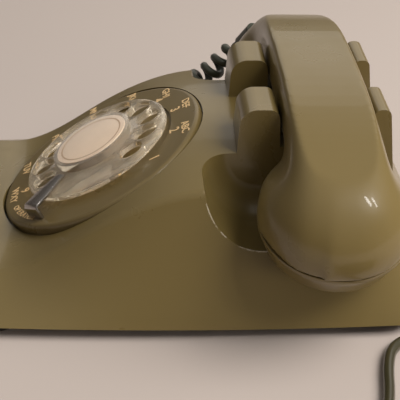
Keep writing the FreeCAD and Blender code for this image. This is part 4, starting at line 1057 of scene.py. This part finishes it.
    def _line_route(self) -> list[Sequence[float]]:
        """Control points of the line cord, from the back round the corner, through its coil to its plug.

        Returns:
            The points in millimetres.
        """
        small = 1e-3
        loops = 2 * self.coil_layer_turns
        first = self._coil_point(0.0)
        first_heading = (self._coil_point(small) - first).normalized()
        last = self._coil_point(loops * 2 * math.pi)
        last_heading = (last - self._coil_point(loops * 2 * math.pi - small)).normalized()
        wound = [self._coil_point(k * 2 * math.pi / self.coil_points)
                 for k in range(loops * self.coil_points + 1)]
        return [
            *self.line_fall, *((x, y, self.line_radius / MM) for x, y in self.line_bend), self.line_climb,
            *(first - first_heading * before for before in self.coil_lead_in), *wound,
            *(last + last_heading * after for after in self.coil_lead_out), *self.line_tail,
        ]

    def _line(self) -> None:
        """Line cord from the back, round the near corner to its tied coil and plug."""
        route = self._line_route()
        cord = self.spline("line_cord_round", route, self.route_steps, self.line_radius)
        cord.data.materials.append(CORD.material())
        path = self.run_of(route, self.route_steps)
        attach(cord, "root")
        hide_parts("line_cord", "line_cord_coil", "line_cord_tail")


@dataclass(frozen=True)
class Lamp:
    """One soft window of light, and whether glossy surfaces show it."""

    name: str
    at: Point
    size: tuple[float, float]
    watts: float
    colour: Colour
    mirrored: bool = True

    def hang(self, aim: Point) -> None:
        """Put the lamp in the scene.

        Args:
            aim: What it points at.
        """
        data = bpy.data.lights.new(self.name, "AREA")
        data.shape = "RECTANGLE"
        data.size, data.size_y = self.size
        data.energy = self.watts
        data.color = self.colour
        lamp = bpy.data.objects.new(self.name, data)
        lamp.location = self.at
        lamp.visible_glossy = self.mirrored
        lamp.rotation_euler = (Vector(aim) - Vector(self.at)).to_track_quat("-Z", "Y").to_euler()
        bpy.context.scene.collection.objects.link(lamp)


LAMPS = (
    Lamp("overhead", (0.2, 0.95, 1.2), (1.0, 1.0), 24.0, (1.0, 0.95, 0.88), mirrored=False),
    Lamp("wall", (-1.4, 0.3, 0.75), (1.8, 0.8), 3.2, (1.0, 0.93, 0.84)),
    Lamp("fill", (1.0, 1.3, 0.2), (1.0, 0.4), 8.0, (1.0, 0.93, 0.85), mirrored=False),
    Lamp("left_pane", (0.6, 0.55, 1.0), (0.05, 0.26), 1.4, (1.0, 0.97, 0.93)),
    Lamp("right_pane", (0.6, 0.75, 1.0), (0.05, 0.26), 1.4, (1.0, 0.97, 0.93)),
)


@dataclass
class Studio:
    """Floor, light and the camera at the photograph's angle."""

    position: Point = (0.4749, -0.0218, 0.3007)
    yaw: float = -3.95
    pitch: float = 30.8
    roll: float = 1.67
    lens: float = 99.0
    shift_x: float = -0.01175
    sensor: float = 36.0
    clip_start: float = 0.01
    aim: Point = (0.0, 0.0, 0.04)
    floor_size: float = 6.0
    floor_rough: float = 0.85
    floor_colour: Colour = (0.48, 0.42, 0.39)
    sky: Colour = (1.0, 0.96, 0.91)
    horizon: Colour = (0.22, 0.19, 0.16)
    air_strength: float = 0.46
    air_axis: Point = (0.0, 0.2, 0.98)

    def build(self) -> None:
        """Set the stage."""
        self._floor()
        self._lights()
        self._camera()
        bpy.context.scene.view_settings.view_transform = "Standard"

    def _floor(self) -> None:
        """A plain pale floor."""
        bpy.ops.object.select_all(action="DESELECT")
        bpy.ops.mesh.primitive_plane_add(size=self.floor_size)
        floor = bpy.context.object
        floor.name = "floor"
        made = bpy.data.materials.new("pale_floor")
        made.use_nodes = True
        shader = made.node_tree.nodes["Principled BSDF"]
        shader.inputs["Base Color"].default_value = (*self.floor_colour, 1.0)
        shader.inputs["Roughness"].default_value = self.floor_rough
        floor.data.materials.append(made)

    def _lights(self) -> None:
        """Hang the lamps and light the room."""
        for lamp in LAMPS:
            lamp.hang(self.aim)
        self._air()

    def _air(self) -> None:
        """A room that is bright above and behind, and dim in front and round the horizon."""
        world = bpy.data.worlds.new("studio_air")
        bpy.context.scene.world = world
        world.use_nodes = True
        tree = world.node_tree
        air = tree.nodes["Background"]
        air.inputs["Strength"].default_value = self.air_strength
        place = tree.nodes.new("ShaderNodeTexCoord")
        toward = tree.nodes.new("ShaderNodeVectorMath")
        toward.operation = "DOT_PRODUCT"
        toward.inputs[1].default_value = self.air_axis
        rise = tree.nodes.new("ShaderNodeMapRange")
        rise.interpolation_type = "SMOOTHSTEP"
        mix = tree.nodes.new("ShaderNodeMix")
        mix.data_type = "RGBA"
        mix.inputs["A"].default_value = (*self.horizon, 1.0)
        mix.inputs["B"].default_value = (*self.sky, 1.0)
        tree.links.new(place.outputs["Generated"], toward.inputs[0])
        tree.links.new(toward.outputs["Value"], rise.inputs["Value"])
        tree.links.new(rise.outputs["Result"], mix.inputs["Factor"])
        tree.links.new(mix.outputs["Result"], air.inputs["Color"])

    def _camera(self) -> None:
        """Camera at the photograph's place."""
        yaw, pitch, roll = (math.radians(angle) for angle in (self.yaw, self.pitch, self.roll))
        level = Vector((math.cos(yaw), math.sin(yaw), 0.0))
        forward = level * -math.cos(pitch) - Vector((0.0, 0.0, math.sin(pitch)))
        right = forward.cross(Vector((0.0, 0.0, 1.0))).normalized()
        up = right.cross(forward)
        rolled_right = right * math.cos(roll) + up * math.sin(roll)
        rolled_up = up * math.cos(roll) - right * math.sin(roll)
        turn = Matrix((rolled_right, rolled_up, -forward)).transposed().to_4x4()
        data = bpy.data.cameras.new("photo_camera")
        data.sensor_width = self.sensor
        data.lens = self.lens
        data.shift_x = self.shift_x
        data.clip_start = self.clip_start
        camera = bpy.data.objects.new("photo_camera", data)
        camera.matrix_world = Matrix.Translation(self.position) @ turn
        bpy.context.scene.collection.objects.link(camera)
        bpy.context.scene.camera = camera


def dress_nodes(frame: dict) -> None:
    """Give every CAD node that still shows its finish.

    Args:
        frame: The loaded frame.
    """
    for name, finish in CAD_FINISH.items():
        node = frame["nodes"][name]
        node.data.materials.clear()
        node.data.materials.append(finish.material())
        LOG.info("%s is in %s", name, finish.name)


def main() -> None:
    """Build the sub-assemblies in order."""
    logging.basicConfig(level=logging.INFO, format="%(name)s: %(message)s")
    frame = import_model()
    shop = Workshop(frame)
    dress_nodes(frame)
    builders: list[Callable[[], None]] = [
        Studio().build, Cords(shop).build, Housing(shop).build, Dial(shop).build, Handset(shop).build,
    ]
    for build in builders:
        build()


if __name__ == "__main__":
    main()
